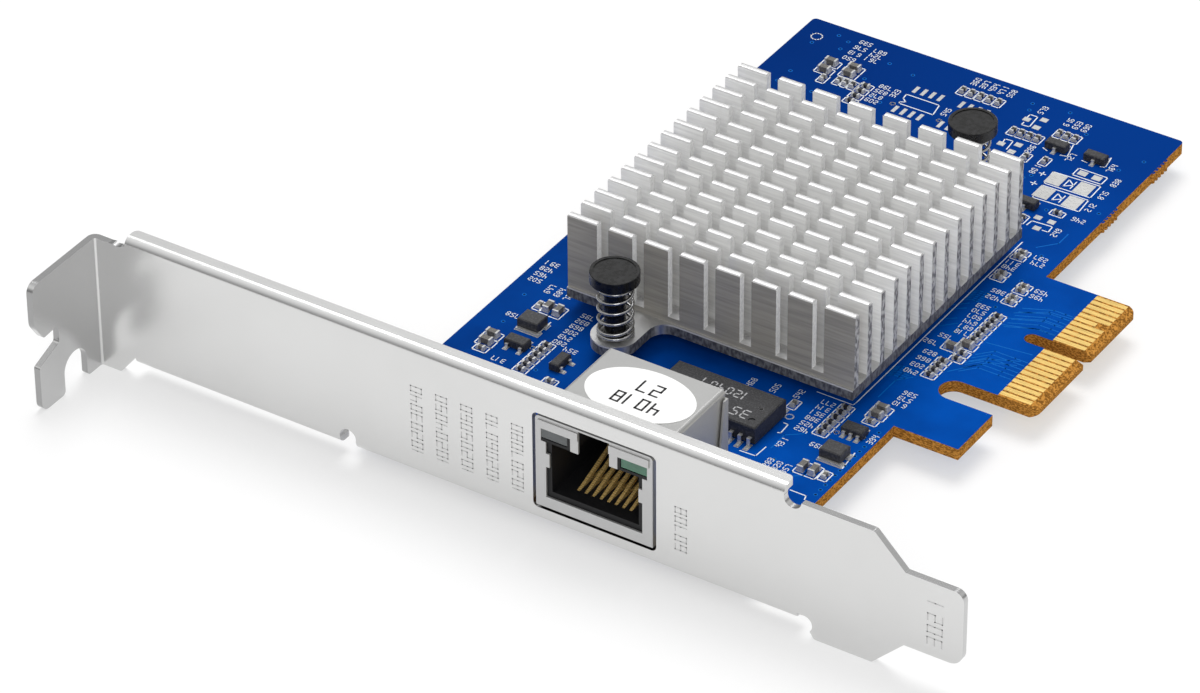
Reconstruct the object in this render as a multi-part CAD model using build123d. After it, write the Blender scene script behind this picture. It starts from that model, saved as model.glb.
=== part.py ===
from build123d import *
import math
import os

# Network interface card: a short circuit board on a full-height bracket, with one jack,
# one pin-fin heat sink and a two-section edge connector.
# While a piece is modelled, X runs along the bracket from its screw tab, Y runs from the
# bracket's front face into the card, and Z = 0 is the component side of the board.
# Each piece is moved at the end so that the card's footprint centre is the origin and
# Z = 0 is the surface that the card lies on. Sizes are in millimetres.

# Bracket sheet
BRACKET_LENGTH = 120.02
BRACKET_WIDTH = 18.42
SHEET = 0.86
BRACKET_TOP = 14.2
TAB_REACH = 12.3
BEND_INSIDE = 0.35
TONGUE_WIDTH = 10.19
TONGUE_LENGTH = 7.52
TONGUE_TOP_CORNER = 1.3
TONGUE_LOW_CORNER = 1.7
SHOULDER_ROUNDING = 0.5
SCREW_SLOT_WIDTH = 4.42
SCREW_SLOT_OFFSET = 5.08
SCREW_SLOT_DEPTH = 5.0
TAB_CORNER = 1.3
TAB_MOUTH_CORNER = 0.6
TAB_NOTCH_TOP = 6.2
TAB_NOTCH_HEIGHT = 4.0
TAB_LOBE_RADIUS = 2.2
TAB_NECK = 0.55
TAB_FORK_INSET = 0.45
FLANGE_DEPTH = 2.4
FLANGE_BEND = 1.1
FLANGE_CORNER = 0.7
TOP_FLANGE_RISE = 1.4
TOP_FLANGE_START = 5.3
TOP_FLANGE_SETBACK = 23.42
LOW_FLANGE_START = 6.0
LOW_FLANGE_SPLIT = 30.85
LOW_FLANGE_SETBACK = 21.52
RELIEF_RADIUS = 1.15
LUG_WIDTH = 8.0
LUG_REACH = 9.8
LUG_CORNER = 2.0
LUG_CENTRES = (48.0, 86.0)

# Circuit board
BOARD_THICKNESS = 1.57
BOARD_LEFT = 36.5
BOARD_WIDTH = 54.0
BOARD_FRONT = 2.3
BOARD_DEPTH = 103.8
BOARD_CORNER = 0.6
HOOK_START = 35.0
HOOK_WIDTH = 8.05
HOOK_LENGTH = 8.7
KEY_CENTRE = 59.0
KEY_WIDTH = 1.9
KEY_DEPTH = 8.5
FINGER_LENGTH = 12.5
FINGER_MARGIN = 0.65
FINGER_CORNER = 1.0
HOOK_SLOT_SETBACK = 0.5
BEVEL_LENGTH = 1.0
BEVEL_DROP = 0.4

# Edge contacts
CONTACT_PITCH = 1.0
CONTACT_WIDTH = 0.72
CONTACTS_PER_SECTION = 11
CONTACT_LENGTH = 4.3
CONTACT_FOIL = 0.04
SHORT_CONTACT = 6
SHORT_CONTACT_LENGTH = 2.9

# Heat sink
SINK_CENTRE_X = 65.3
SINK_CENTRE_Y = 54.2
SINK_SIDE = 40.0
SINK_SEAT = 2.1
SINK_BASE = 1.4
FIN_HEIGHT = 10.2
FIN_ROWS = 14
FIN_THICKNESS = 0.95
FIN_SETBACK = 0.25
FIN_ROOT_CHAMFER = 0.4
FIN_COLUMNS = 8
CROSS_CUT = 1.6
CROSS_CUT_FLOOR = 0.8
EAR_RADIUS = 2.95
EAR_FILLET = 2.3

# Push pins and their springs
PIN_OFFSET_X = 9.85
PIN_OFFSET_Y = 25.1
PIN_HEAD_RADIUS = 3.05
PIN_HEAD_RISE = 9.1
PIN_HEAD_HEIGHT = 1.3
PIN_SHAFT_RADIUS = 1.3
PIN_TIP_REACH = 2.3
PIN_BARB = 0.35
PIN_SPLIT = 0.6
HOLE_CLEARANCE = 0.15
SPRING_WIRE = 0.42
SPRING_RADIUS = 2.15
SPRING_TURNS = 5
SPRING_STEPS_PER_TURN = 9

# Network chip under the heat sink
CHIP_SIDE = 19.0
CHIP_CARRIER = 0.75
CHIP_LID_INSET = 1.2
DIE_SIDE = 12.0
PAD_THICKNESS = 0.4

# Jack
JACK_LEFT = 63.35
JACK_WIDTH = 15.9
JACK_FRONT = -0.05
JACK_DEPTH = 15.55
JACK_TOP = 12.75
SHIELD_WALL = 0.25
SHIELD_CORNER = 0.5
SHIELD_LIP = 0.18
SHIELD_LIP_INSET = 0.45
SHIELD_SPRING_REACH = 0.5
SHIELD_SPRING_LOW = 5.8
SHIELD_SPRING_HEIGHT = 1.9
SHIELD_PIN_Y = 8.5
SHIELD_PIN_WIDTH = 1.0
SHIELD_PIN_REACH = 0.8
FLAP_LENGTH = 2.2
FLAP_TOP_LENGTH = 0.8
FLAP_SPREAD = 0.45
CUTOUT_MARGIN = 0.45
CUTOUT_CORNER = 0.7
PORT_WIDTH = 11.8
PORT_FLOOR = 2.3
PORT_TOP = 9.15
PORT_DEPTH = 13.0
FRAME_OPENING_WIDTH = 13.1
FRAME_OPENING_FLOOR = 1.5
LATCH_WIDTH = 4.2
LATCH_SHOULDER = 0.8
LATCH_RISE = 1.9
LIGHT_WIDTH = 4.0
LIGHT_BOTTOM = 9.3
LIGHT_HEIGHT = 1.9
LIGHT_DEPTH = 7.0
LIGHT_SIDE_MARGIN = 0.75
LIGHT_SURROUND = 0.45
WIRE_COUNT = 8
WIRE_PITCH = 1.02
WIRE_SIZE = 0.4
WIRE_GAP = 0.06
WIRE_DROP = 0.2
WIRE_SETBACK = 1.8
WIRE_REACH = 9.0
WIRE_RISE = 3.2
TAIL_REACH = 0.9
TAIL_ROWS = (11.8, 13.6)
HOUSING_GAP = 0.05
HOUSING_PEG_OFFSET = 5.7
HOUSING_PEG_Y = 8.5
HOUSING_PEG_RADIUS = 1.5
HOUSING_PEG_REACH = 0.6

# Oval label on top of the jack
STICKER_LENGTH = 14.0
STICKER_WIDTH = 9.6
STICKER_THICKNESS = 0.08
STICKER_OFFSET = 0.3
STICKER_Y = 9.4

# Line transformer in front of the heat sink
TRANSFORMER_LEFT = 64.05
TRANSFORMER_LENGTH = 14.8
TRANSFORMER_FRONT = 22.8
TRANSFORMER_DEPTH = 7.0
TRANSFORMER_SEAT = 0.3
TRANSFORMER_HEIGHT = 2.3
TRANSFORMER_EDGE = 0.15
TRANSFORMER_LEADS = 12
TRANSFORMER_LEAD_WIDTH = 0.45
TRANSFORMER_LEAD_REACH = 1.2
TRANSFORMER_LEAD_RISE = 1.2
DIMPLE_INSET = 1.2
DIMPLE_RADIUS = 0.45
LEAD_THICKNESS = 0.15

# Small parts: outside sizes along their length, width and height
SMALL_0402 = (1.05, 0.52, 0.5)
SMALL_0603 = (1.6, 0.82, 0.8)
END_CAP = 0.25
CAP_SKIN = 0.03
PAD_FOIL = 0.04
INDUCTOR_SIZE = (2.9, 2.3, 1.2)
INDUCTOR_SEAT = 0.25
TERMINAL_REACH = 0.45
TERMINAL_SIDE = 0.3
BODY_EDGE = 0.12

# Chips with leads
LEAD_CHIP_LENGTH = 2.9
REGULATOR_WIDTH = 1.6
TRANSISTOR_WIDTH = 1.3
CHIP_BODY_SEAT = 0.1
CHIP_BODY_HEIGHT = 1.0
CHIP_LEAD_WIDTH = 0.4
CHIP_LEAD_REACH = 0.65
CHIP_LEAD_SPREAD = 1.9

# Bracket screws
SCREW_RADIUS = 1.42
SCREW_HOLE_CLEARANCE = 0.08
SCREW_HEAD_RADIUS = 2.7
SCREW_HEAD_HEIGHT = 1.7
SCREW_HEAD_EDGE = 0.5
SCREW_LENGTH = 3.9
SCREW_Y = 5.9
RECESS_DEPTH = 0.9
RECESS_LENGTH = 3.0
RECESS_WIDTH = 0.5

# Sizes that follow from the values above
BRACKET_BOTTOM = BRACKET_TOP - BRACKET_WIDTH
SHOULDER = (BRACKET_WIDTH - TONGUE_WIDTH) / 2
BOARD_RIGHT = BOARD_LEFT + BOARD_WIDTH
BOARD_BACK = BOARD_FRONT + BOARD_DEPTH
BOARD_BOTTOM = -BOARD_THICKNESS
FINGER_TIP = BOARD_RIGHT + FINGER_LENGTH
HOOK_END = HOOK_START + HOOK_WIDTH
SECTION_EDGE = (CONTACTS_PER_SECTION + 0.5) * CONTACT_PITCH + FINGER_MARGIN
FLANGE_TOP = BRACKET_TOP + TOP_FLANGE_RISE
FLANGE_BOTTOM = BOARD_BOTTOM - SHEET
TOP_FLANGE_END = BRACKET_LENGTH - TOP_FLANGE_SETBACK
LOW_FLANGE_END = BRACKET_LENGTH - LOW_FLANGE_SETBACK
SINK_LEFT = SINK_CENTRE_X - SINK_SIDE / 2
SINK_FRONT = SINK_CENTRE_Y - SINK_SIDE / 2
SINK_FLOOR = SINK_SEAT + SINK_BASE
FIN_DEPTH = SINK_SIDE - 2 * FIN_SETBACK
FIN_PITCH = (FIN_DEPTH - FIN_THICKNESS) / (FIN_ROWS - 1)
PIN_HEAD_TOP = SINK_FLOOR + PIN_HEAD_RISE
CHIP_HEIGHT = SINK_SEAT - PAD_THICKNESS
JACK_RIGHT = JACK_LEFT + JACK_WIDTH
JACK_BACK = JACK_FRONT + JACK_DEPTH
JACK_CENTRE = JACK_LEFT + JACK_WIDTH / 2
LIGHT_TOP = LIGHT_BOTTOM + LIGHT_HEIGHT
TRANSFORMER_TOP = TRANSFORMER_SEAT + TRANSFORMER_HEIGHT
PIN_CENTRES = (
    (SINK_CENTRE_X - PIN_OFFSET_X, SINK_CENTRE_Y - PIN_OFFSET_Y),
    (SINK_CENTRE_X + PIN_OFFSET_X, SINK_CENTRE_Y + PIN_OFFSET_Y),
)

# The card rests on the bracket's lower edge
LOWEST = BRACKET_BOTTOM
FOOTPRINT_CENTRE = (BRACKET_LENGTH / 2, (BOARD_BACK - TAB_REACH) / 2)


def ladder(x, y, step_x, step_y, count):
    """Places of equally spaced parts. Parts beside each other in X lie along Y."""
    along_y = step_x != 0
    return [(x + index * step_x, y + index * step_y, along_y) for index in range(count)]


# Places of the small parts: centre, and whether the length runs along Y
SMALL_RESISTORS = (
    ladder(47.3, 21.0, 0, 1.15, 6)
    + ladder(84.0, 29.2, 0, 1.15, 6)
    + ladder(89.8, 54.9, 0, 1.15, 6)
    + ladder(88.85, 45.95, 0, 1.1, 4)
    + ladder(90.0, 50.5, 0, 1.3, 2)
    + ladder(61.35, 101.3, 1.3, 0, 5)
    + ladder(71.3, 96.7, 1.17, 0, 4)
    + ladder(76.5, 99.2, 1.15, 0, 3)
    + ladder(46.9, 94.9, 1.0, 0, 3)
    + ladder(50.5, 91.7, 0, 1.3, 4)
    + [(78.0, 92.9, True), (75.5, 92.4, True), (81.9, 80.4, True), (85.0, 83.7, False)]
)
SMALL_CAPACITORS = (
    ladder(85.65, 72.9, 0, 1.05, 2)
    + ladder(85.7, 67.8, 0, 1.05, 2)
    + ladder(89.4, 66.8, 0, 1.0, 2)
    + ladder(89.4, 64.1, 0, 1.0, 2)
    + [(40.9, 22.1, False), (42.0, 33.2, True), (88.8, 22.2, True), (78.4, 32.3, True)]
    + [(87.8, 34.2, False), (44.9, 94.3, True), (51.6, 20.8, False)]
)
LARGE_CAPACITORS = [
    (40.6, 25.1, False), (40.7, 23.5, False), (43.2, 33.3, True), (44.7, 33.2, True),
    (85.8, 22.2, True), (87.3, 22.2, True), (87.75, 37.0, False), (87.75, 35.6, False),
    (44.0, 97.9, False), (44.1, 96.0, False), (47.2, 98.3, False), (47.2, 96.8, False),
    (88.3, 52.2, False), (89.7, 53.5, False),
]
INDUCTOR_CENTRES = ((43.6, 29.2), (87.75, 26.1))
LEFT_REGULATOR_PLACE = (44.3, 24.9)
RIGHT_REGULATOR_PLACE = (87.4, 31.2)
TRANSISTOR_PLACES = ((77.9, 96.2), (83.3, 96.4), (80.9, 83.2))
SIDE_TRANSISTOR_PLACE = (50.8, 24.2)

# Bare pads of unfitted parts: centres, and sizes along X and Y
DIODE_PAD = (2.1, 2.5)
DIODE_PAD_CENTRES = ((81.1, 90.2), (85.1, 90.2), (81.3, 86.8), (85.4, 86.8))
RESISTOR_PAD = (1.2, 1.0)
RESISTOR_PAD_CENTRES = ((83.3, 93.1), (85.3, 93.1))
TRANSISTOR_PAD = (0.95, 0.85)
TRANSISTOR_PAD_CENTRES = (
    (71.4, 100.0), (73.35, 101.0), (73.35, 99.0), (71.4, 93.5), (73.4, 94.4), (73.4, 92.6),
    (83.4, 81.7), (85.3, 81.7), (84.4, 79.6),
)
CHIP_PAD = (0.5, 1.5)
CHIP_PAD_STEP = 1.2
CHIP_PADS_IN_ROW = 4
CHIP_PAD_ROWS = ((56.2, 98.4), (56.2, 93.2), (62.8, 98.5), (62.8, 93.2))


def slab(x0, x1, y0, y1, z0, z1):
    return Pos((x0 + x1) / 2, (y0 + y1) / 2, (z0 + z1) / 2) * Box(x1 - x0, y1 - y0, z1 - z0)


def peg(x, y, z0, z1, radius):
    return Pos(x, y, (z0 + z1) / 2) * Cylinder(radius, z1 - z0)


def plate_along_x(outline, x0, x1):
    """Extrude a Y-Z outline from x0 to x1."""
    face = make_face(Polyline(*[(x0, y, z) for y, z in outline], close=True))
    return extrude(face, amount=x1 - x0, dir=(1, 0, 0))


def plate_along_y(outline, y0, y1):
    """Extrude an X-Z outline from y0 to y1."""
    face = make_face(Polyline(*[(x, y0, z) for x, z in outline], close=True))
    return extrude(face, amount=y1 - y0, dir=(0, 1, 0))


def plate_along_z(outline, z0, z1):
    """Extrude an X-Y outline from z0 to z1."""
    face = make_face(Polyline(*[(x, y, z0) for x, y in outline], close=True))
    return extrude(face, amount=z1 - z0, dir=(0, 0, 1))


def rounded(plate, axis, corners):
    """Round the plate's edges along an axis: each corner is a point near the edge and a radius."""
    for point, radius in corners:
        edge = plate.edges().filter_by(axis).sort_by_distance(point)[0]
        plate = fillet(edge, radius)
    return plate


def bent_flange(x0, x1, edge, up):
    """A strip of the sheet that leaves the bracket's plate and turns back along Y."""
    turn = 1 if up else -1
    straight = edge - turn * FLANGE_BEND
    inner = FLANGE_BEND - SHEET
    corner = 1 / math.sqrt(2)
    root = straight - turn * SHEET / 2
    outline = [
        Line((0, root), (0, straight)),
        ThreePointArc(
            (0, straight),
            (FLANGE_BEND * (1 - corner), straight + turn * FLANGE_BEND * corner),
            (FLANGE_BEND, edge),
        ),
        Line((FLANGE_BEND, edge), (FLANGE_DEPTH, edge)),
        Line((FLANGE_DEPTH, edge), (FLANGE_DEPTH, edge - turn * SHEET)),
        Line((FLANGE_DEPTH, edge - turn * SHEET), (FLANGE_BEND, edge - turn * SHEET)),
        ThreePointArc(
            (FLANGE_BEND, edge - turn * SHEET),
            (FLANGE_BEND - inner * corner, straight + turn * inner * corner),
            (SHEET, straight),
        ),
        Line((SHEET, straight), (SHEET, root)),
        Line((SHEET, root), (0, root)),
    ]
    section = make_face(Wire(outline))
    placed = Plane(origin=(x0, 0, 0), x_dir=(0, 1, 0), z_dir=(1, 0, 0)) * section
    strip = extrude(placed, amount=x1 - x0, dir=(1, 0, 0))
    return fillet(strip.edges().filter_by(Axis.Z).group_by(Axis.Y)[-1], FLANGE_CORNER)


def bracket_plate():
    """The flat front of the bracket with its narrower tongue."""
    low = FLANGE_BOTTOM + FLANGE_BEND
    high = FLANGE_TOP - FLANGE_BEND
    tongue_start = BRACKET_LENGTH - TONGUE_LENGTH
    shoulder = tongue_start - SHOULDER
    tongue_top = BRACKET_TOP - SHOULDER
    tongue_bottom = BRACKET_BOTTOM + SHOULDER
    foot = 2 * RELIEF_RADIUS
    corners = [
        (0, BRACKET_BOTTOM, 0),
        (LOW_FLANGE_START - foot, BRACKET_BOTTOM, SHOULDER_ROUNDING),
        (LOW_FLANGE_START, low, 0),
        (LOW_FLANGE_END + 0.4, low, 0),
        (LOW_FLANGE_END + foot, BRACKET_BOTTOM, SHOULDER_ROUNDING),
        (shoulder, BRACKET_BOTTOM, SHOULDER_ROUNDING),
        (tongue_start, tongue_bottom, 0),
        (BRACKET_LENGTH, tongue_bottom, TONGUE_LOW_CORNER),
        (BRACKET_LENGTH, tongue_top, TONGUE_TOP_CORNER),
        (tongue_start, tongue_top, 0),
        (shoulder, BRACKET_TOP, SHOULDER_ROUNDING),
        (TOP_FLANGE_END + foot, BRACKET_TOP, 0),
        (TOP_FLANGE_END, high, 0),
        (TOP_FLANGE_START, high, 0),
        (TOP_FLANGE_START - foot, BRACKET_TOP, 0),
        (0, BRACKET_TOP, 0),
    ]
    plate = plate_along_y([(x, z) for x, z, radius in corners], 0, SHEET)
    return rounded(plate, Axis.Y, [((x, SHEET / 2, z), radius) for x, z, radius in corners if radius])


def screw_tab():
    """The folded tab: a rounded lobe, a notch beside it and a fork round the screw slot."""
    slot_left = -SCREW_SLOT_OFFSET - SCREW_SLOT_WIDTH / 2
    slot_right = -SCREW_SLOT_OFFSET + SCREW_SLOT_WIDTH / 2
    slot_root = BRACKET_BOTTOM + SCREW_SLOT_DEPTH - SCREW_SLOT_WIDTH / 2
    fork_outside = -TAB_REACH + TAB_FORK_INSET
    notch_floor = slot_left - TAB_NECK
    notch_bottom = TAB_NOTCH_TOP - TAB_NOTCH_HEIGHT
    corners = [
        (0, BRACKET_TOP, 0),
        (-TAB_REACH, BRACKET_TOP, TAB_CORNER),
        (-TAB_REACH, TAB_NOTCH_TOP + TAB_LOBE_RADIUS, TAB_LOBE_RADIUS),
        (-TAB_REACH + 1.6, TAB_NOTCH_TOP - 0.2, 0.5),
        (notch_floor, TAB_NOTCH_TOP, 0.4),
        (notch_floor, notch_bottom + 1.5, 0.5),
        (fork_outside, notch_bottom, 0.4),
        (fork_outside, BRACKET_BOTTOM, TAB_CORNER),
        (0, BRACKET_BOTTOM, 0),
    ]
    tab = plate_along_x([(y, z) for y, z, radius in corners], 0, SHEET)
    tab = rounded(tab, Axis.X, [((SHEET / 2, y, z), radius) for y, z, radius in corners if radius])
    tab -= slab(-1, 2, slot_left, slot_right, BRACKET_BOTTOM - 1, slot_root)
    tab -= Pos(0, -SCREW_SLOT_OFFSET, slot_root) * Rot(0, 90, 0) * Cylinder(SCREW_SLOT_WIDTH / 2, 4)
    mouth = [((SHEET / 2, y, BRACKET_BOTTOM), TAB_MOUTH_CORNER) for y in (slot_left, slot_right)]
    return rounded(tab, Axis.X, mouth)


def bracket():
    sheet = bracket_plate() + screw_tab()
    split = LOW_FLANGE_START + LOW_FLANGE_SPLIT
    sheet += bent_flange(TOP_FLANGE_START, TOP_FLANGE_END, FLANGE_TOP, True)
    sheet += bent_flange(LOW_FLANGE_START, split - RELIEF_RADIUS, FLANGE_BOTTOM, False)
    sheet += bent_flange(split + RELIEF_RADIUS, LOW_FLANGE_END, FLANGE_BOTTOM, False)
    for centre in LUG_CENTRES:
        lug = slab(
            centre - LUG_WIDTH / 2, centre + LUG_WIDTH / 2,
            FLANGE_DEPTH - 0.5, LUG_REACH, FLANGE_BOTTOM, FLANGE_BOTTOM + SHEET,
        )
        sheet += fillet(lug.edges().filter_by(Axis.Z).group_by(Axis.Y)[-1], LUG_CORNER)
        hole = SCREW_RADIUS + SCREW_HOLE_CLEARANCE
        sheet -= peg(centre, SCREW_Y, FLANGE_BOTTOM - 1, FLANGE_BOTTOM + SHEET + 1, hole)
    reliefs = [
        (split, FLANGE_BOTTOM + FLANGE_BEND + 0.3),
        (LOW_FLANGE_END + 0.9, FLANGE_BOTTOM - 0.1),
        (TOP_FLANGE_END + RELIEF_RADIUS, BRACKET_TOP + 0.1),
        (TOP_FLANGE_START - RELIEF_RADIUS, BRACKET_TOP + 1.05),
    ]
    for x, z in reliefs:
        sheet -= Pos(x, SHEET / 2, z) * Rot(90, 0, 0) * Cylinder(RELIEF_RADIUS, 2 * SHEET)
    window = slab(
        JACK_LEFT - CUTOUT_MARGIN, JACK_RIGHT + CUTOUT_MARGIN, -SHEET, 2 * SHEET,
        -CUTOUT_MARGIN, JACK_TOP + CUTOUT_MARGIN / 2,
    )
    sheet -= fillet(window.edges().filter_by(Axis.Y), CUTOUT_CORNER)
    middle = BRACKET_TOP / 2
    folds = [((0, SHEET, middle), BEND_INSIDE + SHEET * 0.9), ((SHEET, 0, middle), BEND_INSIDE)]
    return rounded(sheet, Axis.Z, folds)


def board_outline():
    body = slab(BOARD_LEFT, BOARD_RIGHT, BOARD_FRONT, BOARD_BACK, BOARD_BOTTOM, 0)
    body = fillet(body.edges().filter_by(Axis.Z).group_by(Axis.Y)[-1], BOARD_CORNER)
    near_end = KEY_CENTRE - SECTION_EDGE
    fingers = slab(BOARD_RIGHT - 1, FINGER_TIP, near_end, KEY_CENTRE + SECTION_EDGE, BOARD_BOTTOM, 0)
    fingers = fillet(fingers.edges().filter_by(Axis.Z).group_by(Axis.X)[-1], FINGER_CORNER)
    hook = slab(BOARD_RIGHT - 1, BOARD_RIGHT + HOOK_LENGTH, HOOK_START, HOOK_END, BOARD_BOTTOM, 0)
    slot_radius = (near_end - HOOK_END) / 2
    slot_end = BOARD_RIGHT + HOOK_SLOT_SETBACK + slot_radius
    bridge = slab(BOARD_RIGHT - 1, slot_end, HOOK_START, KEY_CENTRE, BOARD_BOTTOM, 0)
    bridge -= peg(slot_end, HOOK_END + slot_radius, BOARD_BOTTOM - 1, 1, slot_radius)
    board = body + fingers + hook + bridge
    key_end = FINGER_TIP - KEY_DEPTH + KEY_WIDTH / 2
    board -= peg(key_end, KEY_CENTRE, BOARD_BOTTOM - 1, 1, KEY_WIDTH / 2)
    board -= slab(
        key_end, FINGER_TIP + 1, KEY_CENTRE - KEY_WIDTH / 2, KEY_CENTRE + KEY_WIDTH / 2, BOARD_BOTTOM - 1, 1
    )
    return board


def finger_bevels():
    """The two wedges that the bevel takes off the fingers' outer edge."""
    y0 = KEY_CENTRE - SECTION_EDGE - 1
    y1 = KEY_CENTRE + SECTION_EDGE + 1
    inner = FINGER_TIP - BEVEL_LENGTH
    outer = FINGER_TIP + BEVEL_LENGTH
    top = plate_along_y([(inner, 0), (outer, -2 * BEVEL_DROP), (outer, 1), (inner, 1)], y0, y1)
    low = BOARD_BOTTOM
    bottom = plate_along_y([(inner, low), (outer, low + 2 * BEVEL_DROP), (outer, low - 1), (inner, low - 1)], y0, y1)
    return top, bottom


def board_holes():
    """Centre and radius of each hole through the board, from the piece that goes through it."""
    holes = [(x, y, PIN_SHAFT_RADIUS + HOLE_CLEARANCE) for x, y in PIN_CENTRES]
    holes += [(x, SCREW_Y, SCREW_RADIUS + SCREW_HOLE_CLEARANCE) for x in LUG_CENTRES]
    holes += [(x, SHIELD_PIN_Y, SHIELD_PIN_WIDTH / 2 + 2 * HOLE_CLEARANCE) for x in (JACK_LEFT, JACK_RIGHT)]
    holes += [(x, y, HOUSING_PEG_RADIUS + HOLE_CLEARANCE) for x, y in housing_pegs()]
    return holes


def circuit_board():
    board = board_outline()
    for wedge in finger_bevels():
        board -= wedge
    for x, y, radius in board_holes():
        board -= peg(x, y, BOARD_BOTTOM - 1, 1, radius)
    half = WIRE_SIZE / 2 + HOLE_CLEARANCE
    for x, y in wire_tails():
        board -= slab(x - half, x + half, y - half, y + half, BOARD_BOTTOM - 1, 1)
    return board


def contact_rows():
    """Y of each contact's centre and whether it is the short one."""
    rows = []
    for index in range(CONTACTS_PER_SECTION):
        step = index * CONTACT_PITCH
        rows.append((KEY_CENTRE - 1.5 * CONTACT_PITCH - step, False))
        rows.append((KEY_CENTRE + 1.5 * CONTACT_PITCH + step, index == SHORT_CONTACT - 1))
    return rows


def edge_contacts():
    end = FINGER_TIP - BEVEL_LENGTH
    start = end - CONTACT_LENGTH
    half = CONTACT_WIDTH / 2
    solids = []
    for y, is_short in contact_rows():
        top_end = start + SHORT_CONTACT_LENGTH if is_short else end
        solids.append(slab(start, top_end, y - half, y + half, 0, CONTACT_FOIL))
        solids.append(slab(start, end, y - half, y + half, BOARD_BOTTOM - CONTACT_FOIL, BOARD_BOTTOM))
    return Compound(children=solids)


def sink_base():
    """Base plate with two rounded ears that blend into its front and back edges."""
    side = SINK_SIDE
    base = Rectangle(side, side)
    for turn in (-1, 1):
        x = turn * PIN_OFFSET_X
        y = turn * PIN_OFFSET_Y
        neck = turn * side / 2
        base += Pos(x, y) * Circle(EAR_RADIUS)
        base += Pos(x, (y + neck) / 2) * Rectangle(2 * EAR_RADIUS, abs(y - neck))
    near_joint = [
        vertex for vertex in base.vertices()
        if abs(abs(vertex.Y) - side / 2) < 0.01 and abs(vertex.X) < side / 2 - 0.01
    ]
    base = fillet(near_joint, EAR_FILLET)
    for turn in (-1, 1):
        base -= Pos(turn * PIN_OFFSET_X, turn * PIN_OFFSET_Y) * Circle(PIN_SHAFT_RADIUS + HOLE_CLEARANCE)
    plate = extrude(base, amount=SINK_BASE)
    return Pos(SINK_CENTRE_X, SINK_CENTRE_Y, SINK_SEAT) * plate


def fin_block():
    """All fins: a comb with chamfered slots, cross-cut into columns."""
    slot = FIN_PITCH - FIN_THICKNESS
    first = -FIN_DEPTH / 2 + FIN_THICKNESS + slot / 2
    comb = Pos(0, SINK_FLOOR + FIN_HEIGHT / 2) * Rectangle(FIN_DEPTH, FIN_HEIGHT)
    for row in range(FIN_ROWS - 1):
        cut = Pos(first + row * FIN_PITCH, SINK_FLOOR + FIN_HEIGHT / 2) * Rectangle(slot, FIN_HEIGHT)
        comb -= chamfer(cut.vertices().group_by(Axis.Y)[0], FIN_ROOT_CHAMFER)
    placed = Plane(origin=(SINK_LEFT, SINK_CENTRE_Y, 0), x_dir=(0, 1, 0), z_dir=(1, 0, 0)) * comb
    fins = extrude(placed, amount=SINK_SIDE)
    cut_pitch = SINK_SIDE / FIN_COLUMNS
    for column in range(1, FIN_COLUMNS):
        x = SINK_LEFT + column * cut_pitch
        fins -= slab(
            x - CROSS_CUT / 2, x + CROSS_CUT / 2, SINK_FRONT - 1, SINK_FRONT + SINK_SIDE + 1,
            SINK_FLOOR + CROSS_CUT_FLOOR, SINK_FLOOR + FIN_HEIGHT + 1,
        )
    return fins


def heat_sink():
    return sink_base() + fin_block()


def sink_centred(side, z0, z1):
    """A square block under the heat sink's centre."""
    half = side / 2
    return slab(SINK_CENTRE_X - half, SINK_CENTRE_X + half, SINK_CENTRE_Y - half, SINK_CENTRE_Y + half, z0, z1)


def thermal_pad():
    return sink_centred(DIE_SIDE, CHIP_HEIGHT, SINK_SEAT)


def network_chip():
    lid = sink_centred(CHIP_SIDE - 2 * CHIP_LID_INSET, CHIP_CARRIER, CHIP_HEIGHT)
    return sink_centred(CHIP_SIDE, 0, CHIP_CARRIER) + lid


def push_pin(x, y):
    """Flat head, shaft and a split barbed tip that snaps under the board."""
    head_bottom = PIN_HEAD_TOP - PIN_HEAD_HEIGHT
    tip = BOARD_BOTTOM - PIN_TIP_REACH
    seat = BOARD_BOTTOM - HOUSING_GAP
    shaft = PIN_SHAFT_RADIUS
    profile = Polyline(
        (0, tip), (shaft / 2, tip), (shaft + PIN_BARB, seat), (shaft, seat), (shaft, head_bottom),
        (PIN_HEAD_RADIUS, head_bottom), (PIN_HEAD_RADIUS, PIN_HEAD_TOP), (0, PIN_HEAD_TOP),
        close=True,
    )
    pin = revolve(Plane.XZ * make_face(profile), Axis.Z)
    reach = shaft + 2 * PIN_BARB
    split = slab(-PIN_SPLIT / 2, PIN_SPLIT / 2, -reach, reach, tip - 1, BOARD_BOTTOM + BOARD_THICKNESS * 0.8)
    return Pos(x, y, 0) * (pin - split)


def push_pins():
    return Compound(children=[push_pin(x, y) for x, y in PIN_CENTRES])


def coil_section(step, low, rise):
    """Corners of the spring wire's square section after a number of steps."""
    angle = 2 * math.pi * step / SPRING_STEPS_PER_TURN
    height = low + rise * step
    half = SPRING_WIRE / 2
    return [
        (radius * math.cos(angle), radius * math.sin(angle), height + lift)
        for radius, lift in (
            (SPRING_RADIUS - half, 0), (SPRING_RADIUS, half), (SPRING_RADIUS + half, 0), (SPRING_RADIUS, -half)
        )
    ]


def pin_spring(x, y):
    """A coil spring between the ear and the push pin's head, made of short straight lengths."""
    steps = SPRING_TURNS * SPRING_STEPS_PER_TURN
    low = SINK_FLOOR + SPRING_WIRE / 2
    high = PIN_HEAD_TOP - PIN_HEAD_HEIGHT - SPRING_WIRE / 2 - HOUSING_GAP
    sections = [coil_section(step, low, (high - low) / steps) for step in range(steps + 1)]
    faces = [make_face(Polyline(*sections[0], close=True)), make_face(Polyline(*sections[-1], close=True))]
    for near, far in zip(sections, sections[1:]):
        for side in range(4):
            after = (side + 1) % 4
            faces.append(make_face(Polyline(near[side], near[after], far[after], close=True)))
            faces.append(make_face(Polyline(near[side], far[after], far[side], close=True)))
    return Pos(x, y, 0) * Solid(Shell(faces))


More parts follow.
